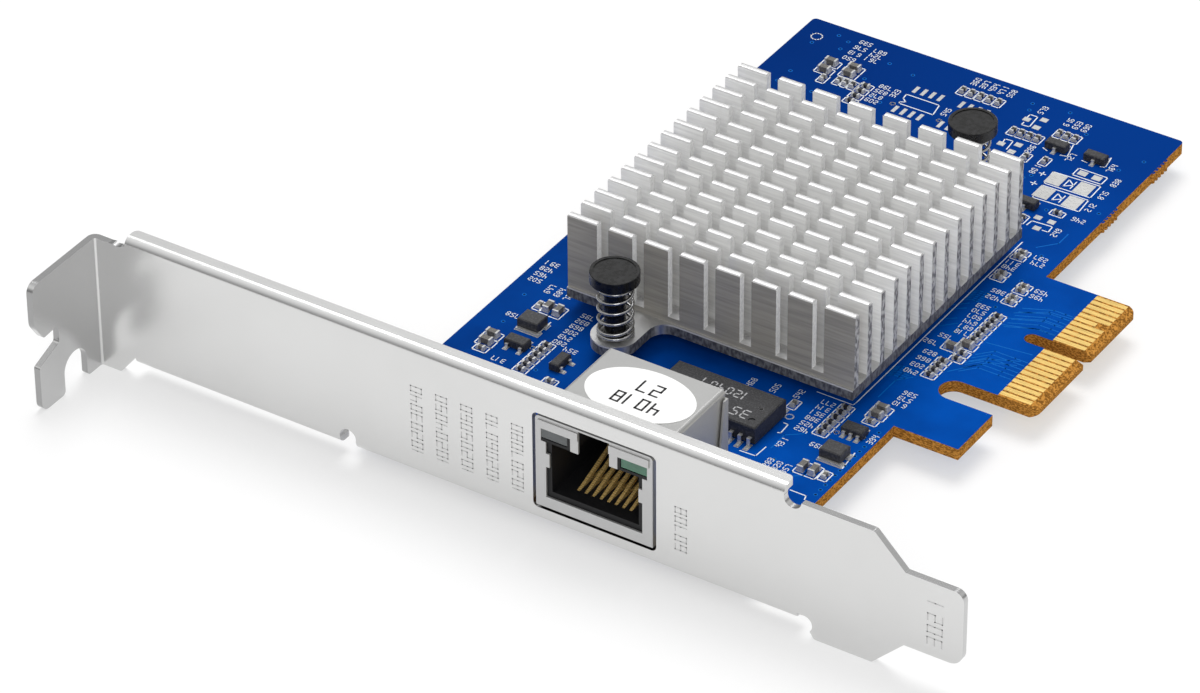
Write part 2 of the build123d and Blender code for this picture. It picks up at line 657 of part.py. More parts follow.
def pin_springs():
    return Compound(children=[pin_spring(x, y) for x, y in PIN_CENTRES])


def housing_pegs():
    return [(JACK_CENTRE - HOUSING_PEG_OFFSET, HOUSING_PEG_Y), (JACK_CENTRE + HOUSING_PEG_OFFSET, HOUSING_PEG_Y)]


def wire_tails():
    """Where the contact wires go through the board, in two staggered rows."""
    first = JACK_CENTRE - (WIRE_COUNT - 1) * WIRE_PITCH / 2
    return [(first + index * WIRE_PITCH, TAIL_ROWS[index % 2]) for index in range(WIRE_COUNT)]


def jack_opening(width, floor, top, y0, y1):
    return slab(JACK_CENTRE - width / 2, JACK_CENTRE + width / 2, y0, y1, floor, top)


def light_boxes(y0, y1, surround, grow):
    """The left and right light: inset by the surround towards the port, and grown all round."""
    left = JACK_LEFT + LIGHT_SIDE_MARGIN
    right = JACK_RIGHT - LIGHT_SIDE_MARGIN
    width = LIGHT_WIDTH - surround
    low = LIGHT_BOTTOM + surround - grow
    high = LIGHT_TOP + grow
    return [
        slab(left - grow, left + width + grow, y0, y1, low, high),
        slab(right - width - grow, right + grow, y0, y1, low, high),
    ]


def shield_side(mirror):
    """What stands out of one side of the shield: board pin, ground spring and flared back flap."""
    wall = SHIELD_WALL
    pin = slab(
        JACK_RIGHT - wall, JACK_RIGHT, SHIELD_PIN_Y - SHIELD_PIN_WIDTH / 2, SHIELD_PIN_Y + SHIELD_PIN_WIDTH / 2,
        BOARD_BOTTOM - SHIELD_PIN_REACH, 2 * wall,
    )
    edge = JACK_CENTRE + FRAME_OPENING_WIDTH / 2
    spring = slab(
        edge - SHIELD_SPRING_REACH, edge, JACK_FRONT, JACK_FRONT + wall,
        SHIELD_SPRING_LOW, SHIELD_SPRING_LOW + SHIELD_SPRING_HEIGHT,
    )
    outside = JACK_RIGHT + FLAP_SPREAD
    low = 2 * SHIELD_CORNER
    high = JACK_TOP - 2 * SHIELD_CORNER
    flap = plate_along_x(
        [(JACK_BACK, low), (JACK_BACK, high), (JACK_BACK - FLAP_TOP_LENGTH, high), (JACK_BACK - FLAP_LENGTH, low)],
        outside - wall, outside,
    )
    flap += slab(JACK_RIGHT - wall, outside, JACK_BACK - wall, JACK_BACK, low, high)
    side = pin + spring + flap
    return side.mirror(Plane.YZ.offset(JACK_CENTRE)) if mirror else side


def jack_shield():
    """Folded sheet cover, open below, with the port's opening and its latch gap in front."""
    wall = SHIELD_WALL
    cover = slab(JACK_LEFT, JACK_RIGHT, JACK_FRONT, JACK_BACK, 0, JACK_TOP)
    cover = fillet(cover.edges().filter_by(Axis.Y).group_by(Axis.Z)[-1], SHIELD_CORNER)
    cover -= slab(JACK_LEFT + wall, JACK_RIGHT - wall, JACK_FRONT + wall, JACK_BACK - wall, -1, JACK_TOP - wall)
    cover += slab(
        JACK_LEFT + SHIELD_LIP_INSET, JACK_RIGHT - SHIELD_LIP_INSET,
        JACK_FRONT - SHIELD_LIP, JACK_FRONT, LIGHT_TOP, JACK_TOP - SHIELD_LIP_INSET,
    )
    front = (JACK_FRONT - 1, JACK_FRONT + wall)
    cover -= jack_opening(FRAME_OPENING_WIDTH, FRAME_OPENING_FLOOR, LIGHT_BOTTOM, *front)
    cover -= jack_opening(LATCH_WIDTH, FRAME_OPENING_FLOOR, JACK_TOP - wall, *front)
    for window in light_boxes(*front, 0, 0):
        cover -= window
    return cover + shield_side(False) + shield_side(True)


def jack_housing():
    """Moulded body with the port, its latch channel, light pockets and two board pegs."""
    gap = SHIELD_WALL + HOUSING_GAP
    front = JACK_FRONT + gap
    back = JACK_BACK - gap
    port_end = front + PORT_DEPTH
    body = slab(JACK_LEFT + gap, JACK_RIGHT - gap, front, back, 0, JACK_TOP - gap)
    for surround in light_boxes(JACK_FRONT, front, 0, -HOUSING_GAP):
        body += surround
    body -= jack_opening(PORT_WIDTH, PORT_FLOOR, PORT_TOP, front - 1, port_end)
    body -= jack_opening(LATCH_WIDTH + 2 * LATCH_SHOULDER, PORT_FLOOR, PORT_TOP + LATCH_RISE, front - 1, port_end)
    body -= jack_opening(LATCH_WIDTH, PORT_FLOOR, JACK_TOP, front - 1, front + LIGHT_DEPTH)
    for pocket in light_boxes(front - 1, front + LIGHT_DEPTH + HOUSING_GAP, LIGHT_SURROUND, HOUSING_GAP):
        body -= pocket
    half = WIRE_SIZE / 2 + WIRE_GAP
    for x, y in wire_tails():
        body -= slab(x - half, x + half, wire_front() - WIRE_GAP, y + half, wire_floor() - WIRE_GAP, PORT_FLOOR + 1)
        body -= slab(x - half, x + half, y - half, y + half, -1, PORT_FLOOR)
    for x, y in housing_pegs():
        body += peg(x, y, BOARD_BOTTOM - HOUSING_PEG_REACH, WIRE_SIZE, HOUSING_PEG_RADIUS)
    return body


def wire_front():
    return JACK_FRONT + SHIELD_WALL + HOUSING_GAP + WIRE_SETBACK


def wire_floor():
    """Underside of the contact wires in their slots."""
    return PORT_FLOOR - WIRE_SIZE - WIRE_DROP


def jack_contacts():
    """Eight spring wires: each runs back along the floor slot, then rises into the port."""
    half = WIRE_SIZE / 2
    low = wire_floor()
    high = low + WIRE_SIZE
    front = wire_front()
    tip_y = front + WIRE_REACH
    tip_z = high + WIRE_RISE
    wires = []
    for x, y in wire_tails():
        run = slab(x - half, x + half, front, y + half, low, high)
        tail = slab(x - half, x + half, y - half, y + half, BOARD_BOTTOM - TAIL_REACH, high)
        spring = plate_along_x(
            [(front, low), (front + WIRE_SIZE, low), (tip_y, tip_z - WIRE_SIZE), (tip_y, tip_z), (front, high)],
            x - half, x + half,
        )
        wires.append(run + tail + spring)
    return Compound(children=wires)


def light_lens(side):
    front = JACK_FRONT + 2 * HOUSING_GAP
    return light_boxes(front, front + LIGHT_DEPTH, LIGHT_SURROUND, 0)[side]


def inspection_sticker():
    oval = Ellipse(STICKER_LENGTH / 2, STICKER_WIDTH / 2)
    return Pos(JACK_CENTRE + STICKER_OFFSET, STICKER_Y, JACK_TOP) * extrude(oval, amount=STICKER_THICKNESS)


def line_transformer():
    back = TRANSFORMER_FRONT + TRANSFORMER_DEPTH
    right = TRANSFORMER_LEFT + TRANSFORMER_LENGTH
    body = slab(TRANSFORMER_LEFT, right, TRANSFORMER_FRONT, back, TRANSFORMER_SEAT, TRANSFORMER_TOP)
    body = chamfer(body.edges().group_by(Axis.Z)[-1], TRANSFORMER_EDGE)
    low = TRANSFORMER_TOP - TRANSFORMER_EDGE
    return body - peg(right - DIMPLE_INSET, TRANSFORMER_FRONT + DIMPLE_INSET, low, TRANSFORMER_TOP + 1, DIMPLE_RADIUS)


def gull_wing_lead(x, y, width, reach, height, front):
    """A lead that leaves a body's side at a height, drops and turns out onto its pad."""
    turn = -1 if front else 1
    sheet = LEAD_THICKNESS
    knee = y + turn * reach * 0.45
    toe = y + turn * reach
    outline = [
        (y, height), (knee, height), (knee, sheet), (toe, sheet), (toe, 0),
        (knee - turn * sheet, 0), (knee - turn * sheet, height - sheet), (y, height - sheet),
    ]
    return plate_along_x(outline, x - width / 2, x + width / 2)


def transformer_leads():
    step = TRANSFORMER_LENGTH / TRANSFORMER_LEADS
    size = (TRANSFORMER_LEAD_WIDTH, TRANSFORMER_LEAD_REACH, TRANSFORMER_LEAD_RISE)
    leads = []
    for index in range(TRANSFORMER_LEADS):
        x = TRANSFORMER_LEFT + (index + 0.5) * step
        leads.append(gull_wing_lead(x, TRANSFORMER_FRONT, *size, True))
        leads.append(gull_wing_lead(x, TRANSFORMER_FRONT + TRANSFORMER_DEPTH, *size, False))
    return Compound(children=leads)


def moulded_body(x, y, length, width, z0, z1):
    """A small moulded block with a chamfered top."""
    body = slab(x - length / 2, x + length / 2, y - width / 2, y + width / 2, z0, z1)
    return chamfer(body.edges().group_by(Axis.Z)[-1], BODY_EDGE)


def inductor_bodies():
    length, width, height = INDUCTOR_SIZE
    top = INDUCTOR_SEAT + height
    return Compound(children=[moulded_body(x, y, length, width, INDUCTOR_SEAT, top) for x, y in INDUCTOR_CENTRES])


def inductor_terminals():
    """Two flat terminals under each inductor, wider than its body on the outside."""
    length, width, height = INDUCTOR_SIZE
    plates = []
    for x, y in INDUCTOR_CENTRES:
        x0 = x - length / 2
        x1 = x + length / 2 + TERMINAL_SIDE
        y0 = y - width / 2 - TERMINAL_REACH
        y1 = y + width / 2
        plates.append(slab(x0, x1, y0, y0 + 2 * TERMINAL_REACH, 0, INDUCTOR_SEAT))
        plates.append(slab(x0, x1, y1 - 2 * TERMINAL_REACH, y1, 0, INDUCTOR_SEAT))
    return Compound(children=plates)


def chip_body(place, width):
    x, y = place
    return moulded_body(x, y, LEAD_CHIP_LENGTH, width, CHIP_BODY_SEAT, CHIP_BODY_SEAT + CHIP_BODY_HEIGHT)


def lead_places(x, count):
    if count == 1:
        return [x]
    step = CHIP_LEAD_SPREAD / (count - 1)
    return [x - CHIP_LEAD_SPREAD / 2 + index * step for index in range(count)]


def chip_leads(place, width, front_count, back_count):
    """The leads of a small chip, with a number on its front side and on its back side."""
    x, y = place
    size = (CHIP_LEAD_WIDTH, CHIP_LEAD_REACH, CHIP_BODY_SEAT + CHIP_BODY_HEIGHT / 2)
    front = [gull_wing_lead(at, y - width / 2, *size, True) for at in lead_places(x, front_count)]
    back = [gull_wing_lead(at, y + width / 2, *size, False) for at in lead_places(x, back_count)]
    return front + back


def quarter_turned(shape, place):
    x, y = place
    return Pos(x, y, 0) * Rot(0, 0, 90) * Pos(-x, -y, 0) * shape


def transistor_bodies():
    bodies = [chip_body(place, TRANSISTOR_WIDTH) for place in TRANSISTOR_PLACES]
    bodies.append(quarter_turned(chip_body(SIDE_TRANSISTOR_PLACE, TRANSISTOR_WIDTH), SIDE_TRANSISTOR_PLACE))
    return Compound(children=bodies)


def transistor_leads():
    leads = []
    for place in TRANSISTOR_PLACES:
        leads += chip_leads(place, TRANSISTOR_WIDTH, 1, 2)
    side_leads = chip_leads(SIDE_TRANSISTOR_PLACE, TRANSISTOR_WIDTH, 2, 1)
    leads += [quarter_turned(lead, SIDE_TRANSISTOR_PLACE) for lead in side_leads]
    return Compound(children=leads)


def small_parts(places, size, part):
    """Chip parts: each one's ceramic body between the caps, or its two end caps."""
    length, width, height = size
    half = length / 2
    inner = half - END_CAP
    if part == "body":
        solids = [slab(-inner, inner, -width / 2 + CAP_SKIN, width / 2 - CAP_SKIN, 0, height - CAP_SKIN)]
    else:
        solids = [
            slab(-half, -inner, -width / 2, width / 2, 0, height),
            slab(inner, half, -width / 2, width / 2, 0, height),
        ]
    return [
        Pos(x, y, 0) * Rot(0, 0, 90 if along_y else 0) * solid for x, y, along_y in places for solid in solids
    ]


def capacitors(part):
    solids = small_parts(SMALL_CAPACITORS, SMALL_0402, part)
    return Compound(children=solids + small_parts(LARGE_CAPACITORS, SMALL_0603, part))


def resistors(part):
    return Compound(children=small_parts(SMALL_RESISTORS, SMALL_0402, part))


def bare_pads():
    pads = [(centre, DIODE_PAD) for centre in DIODE_PAD_CENTRES]
    pads += [(centre, RESISTOR_PAD) for centre in RESISTOR_PAD_CENTRES]
    pads += [(centre, TRANSISTOR_PAD) for centre in TRANSISTOR_PAD_CENTRES]
    for x, y in CHIP_PAD_ROWS:
        pads += [((x + index * CHIP_PAD_STEP, y), CHIP_PAD) for index in range(CHIP_PADS_IN_ROW)]
    return Compound(children=[
        slab(x - width / 2, x + width / 2, y - depth / 2, y + depth / 2, 0, PAD_FOIL)
        for (x, y), (width, depth) in pads
    ])


def bracket_screw(x):
    """Cross-recessed screw from the component side into the bracket's lug."""
    head = peg(x, SCREW_Y, 0, SCREW_HEAD_HEIGHT, SCREW_HEAD_RADIUS)
    head = chamfer(head.edges().group_by(Axis.Z)[-1], SCREW_HEAD_EDGE)
    screw = head + peg(x, SCREW_Y, -SCREW_LENGTH, SCREW_HEAD_EDGE, SCREW_RADIUS)
    for reach_x, reach_y in ((RECESS_LENGTH / 2, RECESS_WIDTH / 2), (RECESS_WIDTH / 2, RECESS_LENGTH / 2)):
        screw -= slab(
            x - reach_x, x + reach_x, SCREW_Y - reach_y, SCREW_Y + reach_y,
            SCREW_HEAD_HEIGHT - RECESS_DEPTH, SCREW_HEAD_HEIGHT + 1,
        )
    return screw


def bracket_screws():
    return Compound(children=[bracket_screw(x) for x in LUG_CENTRES])


NODES = {
    "bracket": bracket,
    "bracket_screws": bracket_screws,
    "circuit_board": circuit_board,
    "edge_contacts": edge_contacts,
    "heat_sink": heat_sink,
    "thermal_pad": thermal_pad,
    "network_chip": network_chip,
    "push_pins": push_pins,
    "pin_springs": pin_springs,
    "jack_shield": jack_shield,
    "jack_housing": jack_housing,
    "jack_contacts": jack_contacts,
    "left_light_lens": lambda: light_lens(0),
    "right_light_lens": lambda: light_lens(1),
    "inspection_sticker": inspection_sticker,
    "line_transformer": line_transformer,
    "transformer_leads": transformer_leads,
    "inductor_bodies": inductor_bodies,
    "inductor_terminals": inductor_terminals,
    "left_regulator": lambda: chip_body(LEFT_REGULATOR_PLACE, REGULATOR_WIDTH),
    "left_regulator_leads": lambda: Compound(children=chip_leads(LEFT_REGULATOR_PLACE, REGULATOR_WIDTH, 2, 3)),
    "right_regulator": lambda: chip_body(RIGHT_REGULATOR_PLACE, REGULATOR_WIDTH),
    "right_regulator_leads": lambda: Compound(children=chip_leads(RIGHT_REGULATOR_PLACE, REGULATOR_WIDTH, 3, 3)),
    "transistor_bodies": transistor_bodies,
    "transistor_leads": transistor_leads,
    "capacitor_bodies": lambda: capacitors("body"),
    "capacitor_end_caps": lambda: capacitors("caps"),
    "resistor_bodies": lambda: resistors("body"),
    "resistor_end_caps": lambda: resistors("caps"),
    "bare_pads": bare_pads,
}

os.makedirs("parts", exist_ok=True)
to_rest = Pos(-FOOTPRINT_CENTRE[0], -FOOTPRINT_CENTRE[1], -LOWEST)
for name, build in NODES.items():
    export_step(to_rest * build(), f"parts/{name}.step")
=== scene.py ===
import logging
import math
from dataclasses import dataclass, field
from enum import Enum

import bpy
import numpy as np
from mathutils import Matrix, Vector


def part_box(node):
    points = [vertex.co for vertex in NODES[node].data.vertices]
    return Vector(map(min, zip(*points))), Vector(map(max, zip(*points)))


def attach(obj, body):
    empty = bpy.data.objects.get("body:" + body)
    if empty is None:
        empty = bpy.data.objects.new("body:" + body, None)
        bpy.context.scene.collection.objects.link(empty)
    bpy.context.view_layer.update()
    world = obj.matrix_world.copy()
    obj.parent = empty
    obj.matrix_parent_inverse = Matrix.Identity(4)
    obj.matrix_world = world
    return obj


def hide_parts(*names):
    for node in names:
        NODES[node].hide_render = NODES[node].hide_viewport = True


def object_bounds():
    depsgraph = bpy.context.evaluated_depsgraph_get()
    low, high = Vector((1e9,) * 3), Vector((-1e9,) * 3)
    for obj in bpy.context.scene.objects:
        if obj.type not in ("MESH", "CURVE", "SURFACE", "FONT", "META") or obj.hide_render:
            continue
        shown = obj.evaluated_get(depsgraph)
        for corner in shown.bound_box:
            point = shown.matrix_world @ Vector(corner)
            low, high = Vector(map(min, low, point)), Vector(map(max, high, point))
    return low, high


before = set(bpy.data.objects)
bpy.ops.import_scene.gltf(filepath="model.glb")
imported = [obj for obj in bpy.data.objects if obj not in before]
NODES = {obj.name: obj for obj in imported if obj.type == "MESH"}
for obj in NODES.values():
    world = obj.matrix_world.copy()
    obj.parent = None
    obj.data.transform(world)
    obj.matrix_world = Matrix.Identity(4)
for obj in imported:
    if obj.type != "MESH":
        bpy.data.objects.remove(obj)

CAD_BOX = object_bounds()
MM = 0.001
CELLS_A_METRE = 1e7
TUBE_TIP = 0.02
WHITE = (1.0, 1.0, 1.0, 1.0)
LOG = logging.getLogger("network_card")
Socket = bpy.types.NodeSocket
Triple = tuple[float, float, float]
Value = Socket | float | tuple[float, ...]
Surface = tuple[np.ndarray, np.ndarray]


class Body(str, Enum):
    """The frame's bodies. A card has no moving parts, so there is one."""

    CARD = "root"


class Direction(Enum):
    """The axis that a grain or a row of marks runs along."""

    ALONG_X = 0
    ALONG_Y = 1
    ALONG_Z = 2


ALONG_X, ALONG_Y, ALONG_Z = Direction


@dataclass(frozen=True)
class CardFrame:
    """Card measures in millimetres, as places in the frame's metres.

    X counts from the screw tab's outer face, Y from the bracket's front and Z from the board's top. A finish
    that changes past a limit does so over the soft edge on both sides of it. A face lies square to an axis
    when its normal's part along it is past the second number of square, and not at all below the first.
    """

    board_front: float = 2.3
    soft_edge: float = 0.05
    square: tuple[float, float] = (0.75, 0.95)

    def at(self, x: float, y: float, z: float) -> Vector:
        """Place in metres of a card measure in millimetres.

        Args:
            x: distance from the tab's outer face.
            y: distance behind the bracket's front.
            z: height over the board's component side.

        Returns:
            The place in the frame.
        """
        bracket_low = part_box("bracket")[0]
        board_low, board_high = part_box("circuit_board")
        front = board_low[1] - self.board_front * MM
        return Vector((bracket_low[0] + x * MM, front + y * MM, board_high[2] + z * MM))


CARD = CardFrame()
ORIGIN = np.array(CARD.at(0.0, 0.0, 0.0))
BOARD_THICKNESS = (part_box("circuit_board")[1][2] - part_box("circuit_board")[0][2]) / MM


class NodeTree:
    """A node tree, with short calls that add, feed and join nodes."""

    def __init__(self, tree: bpy.types.NodeTree) -> None:
        """Empty the tree.

        Args:
            tree: the node tree of a material or a world.
        """
        self.tree = tree
        tree.nodes.clear()

    def feed(self, node: bpy.types.Node, values: dict[str | int, Value]) -> None:
        """Join sockets to a node's inputs, or set the inputs' values.

        Args:
            node: the node.
            values: a socket, number or row of numbers for each input's name or place.
        """
        for name, value in values.items():
            if isinstance(value, Socket):
                self.tree.links.new(value, node.inputs[name])
            else:
                node.inputs[name].default_value = value

    def add(
        self, kind: str, values: dict[str | int, Value] | None = None, **settings: object
    ) -> bpy.types.Node:
        """Add a node.

        Args:
            kind: the node's type name.
            values: what its inputs hold.
            settings: property names and their values.

        Returns:
            The new node.
        """
        node = self.tree.nodes.new(kind)
        for name, value in settings.items():
            setattr(node, name, value)
        self.feed(node, values or {})
        return node

    def levels(self, value: Socket, low: Value, high: Value, start: float = 0.3, end: float = 0.7) -> Socket:
        """Map a value from one range to another.

        Args:
            value: the input.
            low: the output at start.
            high: the output at end.
            start: the input's lower limit.
            end: the input's upper limit.

        Returns:
            The mapped value, held within the limits.
        """
        limits = {"Value": value, "From Min": start, "From Max": end, "To Min": low, "To Max": high}
        return self.add("ShaderNodeMapRange", limits).outputs["Result"]

    def calculate(self, operation: str, first: Socket, second: Value = 0.0) -> Socket:
        """Join a value to another by one of the Math node's operations.

        Args:
            operation: the operation.
            first: the first value.
            second: the second value.

        Returns:
            The result.
        """
        return self.add("ShaderNodeMath", {0: first, 1: second}, operation=operation).outputs["Value"]

    def not_in(self, share: Socket) -> Socket:
        """One less a share."""
        return self.levels(share, 1.0, 0.0, 0.0, 1.0)

    def both(self, first: Socket, second: Value) -> Socket:
        """Where two shares meet."""
        return self.calculate("MULTIPLY", first, second)

    def either(self, first: Socket, second: Socket) -> Socket:
        """The greater of two shares."""
        return self.calculate("MAXIMUM", first, second)

    def along(self, source: Socket, direction: Direction) -> Socket:
        """The part of a vector that lies along an axis."""
        return self.add("ShaderNodeSeparateXYZ", {0: source}).outputs[direction.value]


class NodeSheet(NodeTree):
    """A material's node tree with one Principled shader."""

    def __init__(self, name: str) -> None:
        """Start a material.

        Args:
            name: the material's name.
        """
        self.material = bpy.data.materials.new(name)
        self.material.use_nodes = True
        super().__init__(self.material.node_tree)
        self.shader = self.add("ShaderNodeBsdfPrincipled")
        self.output = self.add("ShaderNodeOutputMaterial", {"Surface": self.shader.outputs["BSDF"]})
        self.place = self.add("ShaderNodeTexCoord").outputs["Object"]

    def set(self, **values: Value) -> None:
        """Feed the Principled shader, with spaces in its inputs' names written as underscores."""
        self.feed(self.shader, {name.replace("_", " "): value for name, value in values.items()})

    def noise(self, scale: float, detail: float = 4.0, stretch: Triple = (1.0, 1.0, 1.0)) -> Socket:
        """Noise in object coordinates.

        Args:
            scale: cells a metre.
            detail: octaves.
            stretch: factor on each axis before the noise.

        Returns:
            The noise value, about 0.5 on average.
        """
        place = self.add("ShaderNodeMapping", {"Scale": stretch, "Vector": self.place}).outputs["Vector"]
        values = {"Scale": scale, "Detail": detail, "Vector": place}
        return self.add("ShaderNodeTexNoise", values).outputs["Fac"]

    def blend(self, share: Socket, first: Triple | Socket, second: Triple | Socket) -> Socket:
        """Blend two colours.

        Args:
            share: how much of the second colour shows.
            first: the colour at 0.
            second: the colour at 1.

        Returns:
            The blended colour.
        """
        colours = [(*colour, 1.0) if isinstance(colour, tuple) else colour for colour in (first, second)]
        values = {"Factor": share, 6: colours[0], 7: colours[1]}
        return self.add("ShaderNodeMix", values, data_type="RGBA").outputs[2]

    def relief(self, height: Socket, depth: float, strength: float = 1.0) -> None:
        """Raise the surface by a height map.

        Args:
            height: the height from 0 to 1.
            depth: metres between 0 and 1.
            strength: share of the effect.
        """
        bump = self.add("ShaderNodeBump", {"Strength": strength, "Distance": depth, "Height": height})
        self.set(Normal=bump.outputs["Normal"])

    def flat_across(self, direction: Direction) -> Socket:
        """1 where the surface lies square to an axis, 0 where it leans away from that."""
        normal = self.add("ShaderNodeNewGeometry").outputs["Normal"]
        squarely = self.calculate("ABSOLUTE", self.along(normal, direction))
        return self.levels(squarely, 0.0, 1.0, *CARD.square)

    def ramp(self, direction: Direction, start: float, end: float) -> Socket:
        """Rise from 0 to 1 between two places along an axis.

        Args:
            direction: the axis.
            start: where the rise begins, in card millimetres.
            end: where the rise ends.

        Returns:
            The share.
        """
        zero = float(ORIGIN[direction.value])
        return self.levels(self.along(self.place, direction), 0.0, 1.0, zero + start * MM, zero + end * MM)

    def beyond(self, direction: Direction, limit: float) -> Socket:
        """1 past a limit along an axis, in card millimetres, and 0 before it."""
        return self.ramp(direction, limit - CARD.soft_edge, limit + CARD.soft_edge)

    def before(self, direction: Direction, limit: float) -> Socket:
        """1 before a limit along an axis and 0 past it."""
        return self.not_in(self.beyond(direction, limit))


def grain_stretch(direction: Direction, length: float) -> Triple:
    """Factors that draw noise out along one axis.

    Args:
        direction: the axis that the grain runs along.
        length: how many times longer than wide the grain is.

    Returns:
        One factor an axis.
    """
    factors = [1.0, 1.0, 1.0]
    factors[direction.value] = 1.0 / length
    return tuple(factors)


@dataclass(frozen=True)
class MetalSheet:
    """Plated or bare metal with a fine grain and a faint cloudiness.

    A sheet may have painted light or shade as other colours on its front and on its faces across the card's
    length, and a painted dark reflection on the cut edges that lie below a height or ahead of the front.
    """

    name: str
    colour: Triple
    roughness: float
    grain: Direction = ALONG_X
    grain_length: float = 30.0
    grain_scale: float = 6000.0
    grain_depth: float = 0.0000012
    grain_contrast: float = 0.06
    cloud: float = 0.04
    cloud_scale: float = 90.0
    detail: float = 3.0
    metallic: float = 1.0
    front: Triple | None = None
    inside: Triple | None = None
    edge: Triple | None = None
    edge_limit: float = 14.6
    front_limit: float = -0.5

    def build(self) -> bpy.types.Material:
        """Make the material."""
        sheet = NodeSheet(self.name)
        grain = sheet.noise(self.grain_scale, self.detail, grain_stretch(self.grain, self.grain_length))
        cloud = sheet.noise(self.cloud_scale, self.detail)
        darker = tuple(channel * (1.0 - 2.0 * self.cloud) for channel in self.colour)
        colour = sheet.blend(sheet.levels(cloud, 0.0, 1.0), self.colour, darker)
        # Painted light and shade: faces across Y and across X get lighter or darker copies of the colour.
        if self.front is not None:
            colour = sheet.blend(sheet.flat_across(ALONG_Y), colour, self.front)
        if self.inside is not None:
            colour = sheet.blend(sheet.flat_across(ALONG_X), colour, self.inside)
        # Painted dark reflection: a grey line on the edges below a height and ahead of the front.
        if self.edge is not None:
            upper_edge = sheet.both(sheet.flat_across(ALONG_Z), sheet.before(ALONG_Z, self.edge_limit))
            front_edge = sheet.both(sheet.flat_across(ALONG_Y), sheet.before(ALONG_Y, self.front_limit))
            colour = sheet.blend(sheet.either(upper_edge, front_edge), colour, self.edge)
        low, high = self.roughness - self.grain_contrast, self.roughness + self.grain_contrast
        sheet.set(Base_Color=colour, Roughness=sheet.levels(grain, low, high), Metallic=self.metallic)
        sheet.relief(grain, self.grain_depth)
        return sheet.material


@dataclass(frozen=True)
class SawnAluminium:
    """Heat sink metal: bright tops, pale inner faces of painted light, a front row and a foot darkened by
    painted shade with a painted highlight along the foot's upper edge, and sawn sides.
    """

    name: str = "satin_aluminium"
    top: Triple = (0.60, 0.60, 0.60)
    inner: Triple = (0.92, 0.92, 0.91)
    front: Triple = (0.36, 0.34, 0.305)
    sawn: Triple = (0.48, 0.48, 0.48)
    sawn_dark: Triple = (0.12, 0.12, 0.125)
    drawn: Triple = (0.55, 0.55, 0.55)
    brushed: Triple = (0.27, 0.26, 0.235)
    foot: Triple = (0.17, 0.17, 0.175)
    foot_dark: Triple = (0.055, 0.055, 0.06)
    front_limit: float = 35.5
    right_limit: float = 85.2
    left_limit: float = 45.4
    foot_limit: float = 3.5
    foot_edge: float = 0.2
    scale: float = 2600.0
    streak_stretch: Triple = (0.05, 1.0, 1.0)
    pit_stretch: Triple = (1.0, 1.0, 0.5)
    roughness: tuple[float, float] = (0.42, 0.6)
    metallic: tuple[float, float] = (0.9, 0.12)
    streak_depth: float = 0.00001
    streak_strength: float = 0.3

    def build(self) -> bpy.types.Material:
        """Make the material, with each kind of face told by its direction and place and given its own painted
        light or shade.
        """
        sheet = NodeSheet(self.name)
        streak = sheet.noise(self.scale, 4.0, self.streak_stretch)
        pitted = sheet.levels(sheet.noise(self.scale, 5.0, self.pit_stretch), 0.0, 1.0, 0.4, 0.6)
        across_y = sheet.flat_across(ALONG_Y)
        across_x = sheet.flat_across(ALONG_X)
        foot = sheet.before(ALONG_Z, self.foot_limit)
        outermost = sheet.both(across_y, sheet.before(ALONG_Y, self.front_limit))
        upright = sheet.either(across_x, across_y)
        outside = sheet.either(
            sheet.beyond(ALONG_X, self.right_limit), sheet.before(ALONG_X, self.left_limit)
        )
        # Painted light: the tops and the pale inner faces are lit copies of one aluminium, told apart by face
        # direction.
        colour = sheet.blend(upright, self.top, self.inner)
        drawn = sheet.blend(sheet.levels(streak, 0.0, 0.45), colour, self.drawn)
        # Painted shade: the front row is a darker copy of the same aluminium, with real brushed streaks in
        # it.
        brushed = sheet.blend(sheet.levels(streak, 0.0, 1.0, 0.35, 0.65), self.front, self.brushed)
        fronted = sheet.blend(outermost, drawn, brushed)
        rough = sheet.blend(pitted, self.sawn, self.sawn_dark)
        ended = sheet.blend(sheet.both(across_x, outside), fronted, rough)
        # Painted shade: the foot's upright faces are painted dark, with real pits in them.
        speckled = sheet.blend(pitted, self.foot, self.foot_dark)
        footed = sheet.blend(sheet.both(foot, upright), ended, speckled)
        # Painted highlight: a band along the foot's upper edge, on faces across Y, takes the tops' colour.
        edge = sheet.both(foot, sheet.beyond(ALONG_Z, self.foot_limit - self.foot_edge))
        sheet.set(
            Base_Color=sheet.blend(sheet.both(edge, across_y), footed, self.top),
            Roughness=sheet.levels(across_x, *self.roughness, 0.0, 1.0),
            Metallic=sheet.levels(upright, *self.metallic, 0.0, 1.0),
        )
        sheet.relief(streak, self.streak_depth, self.streak_strength)
        return sheet.material


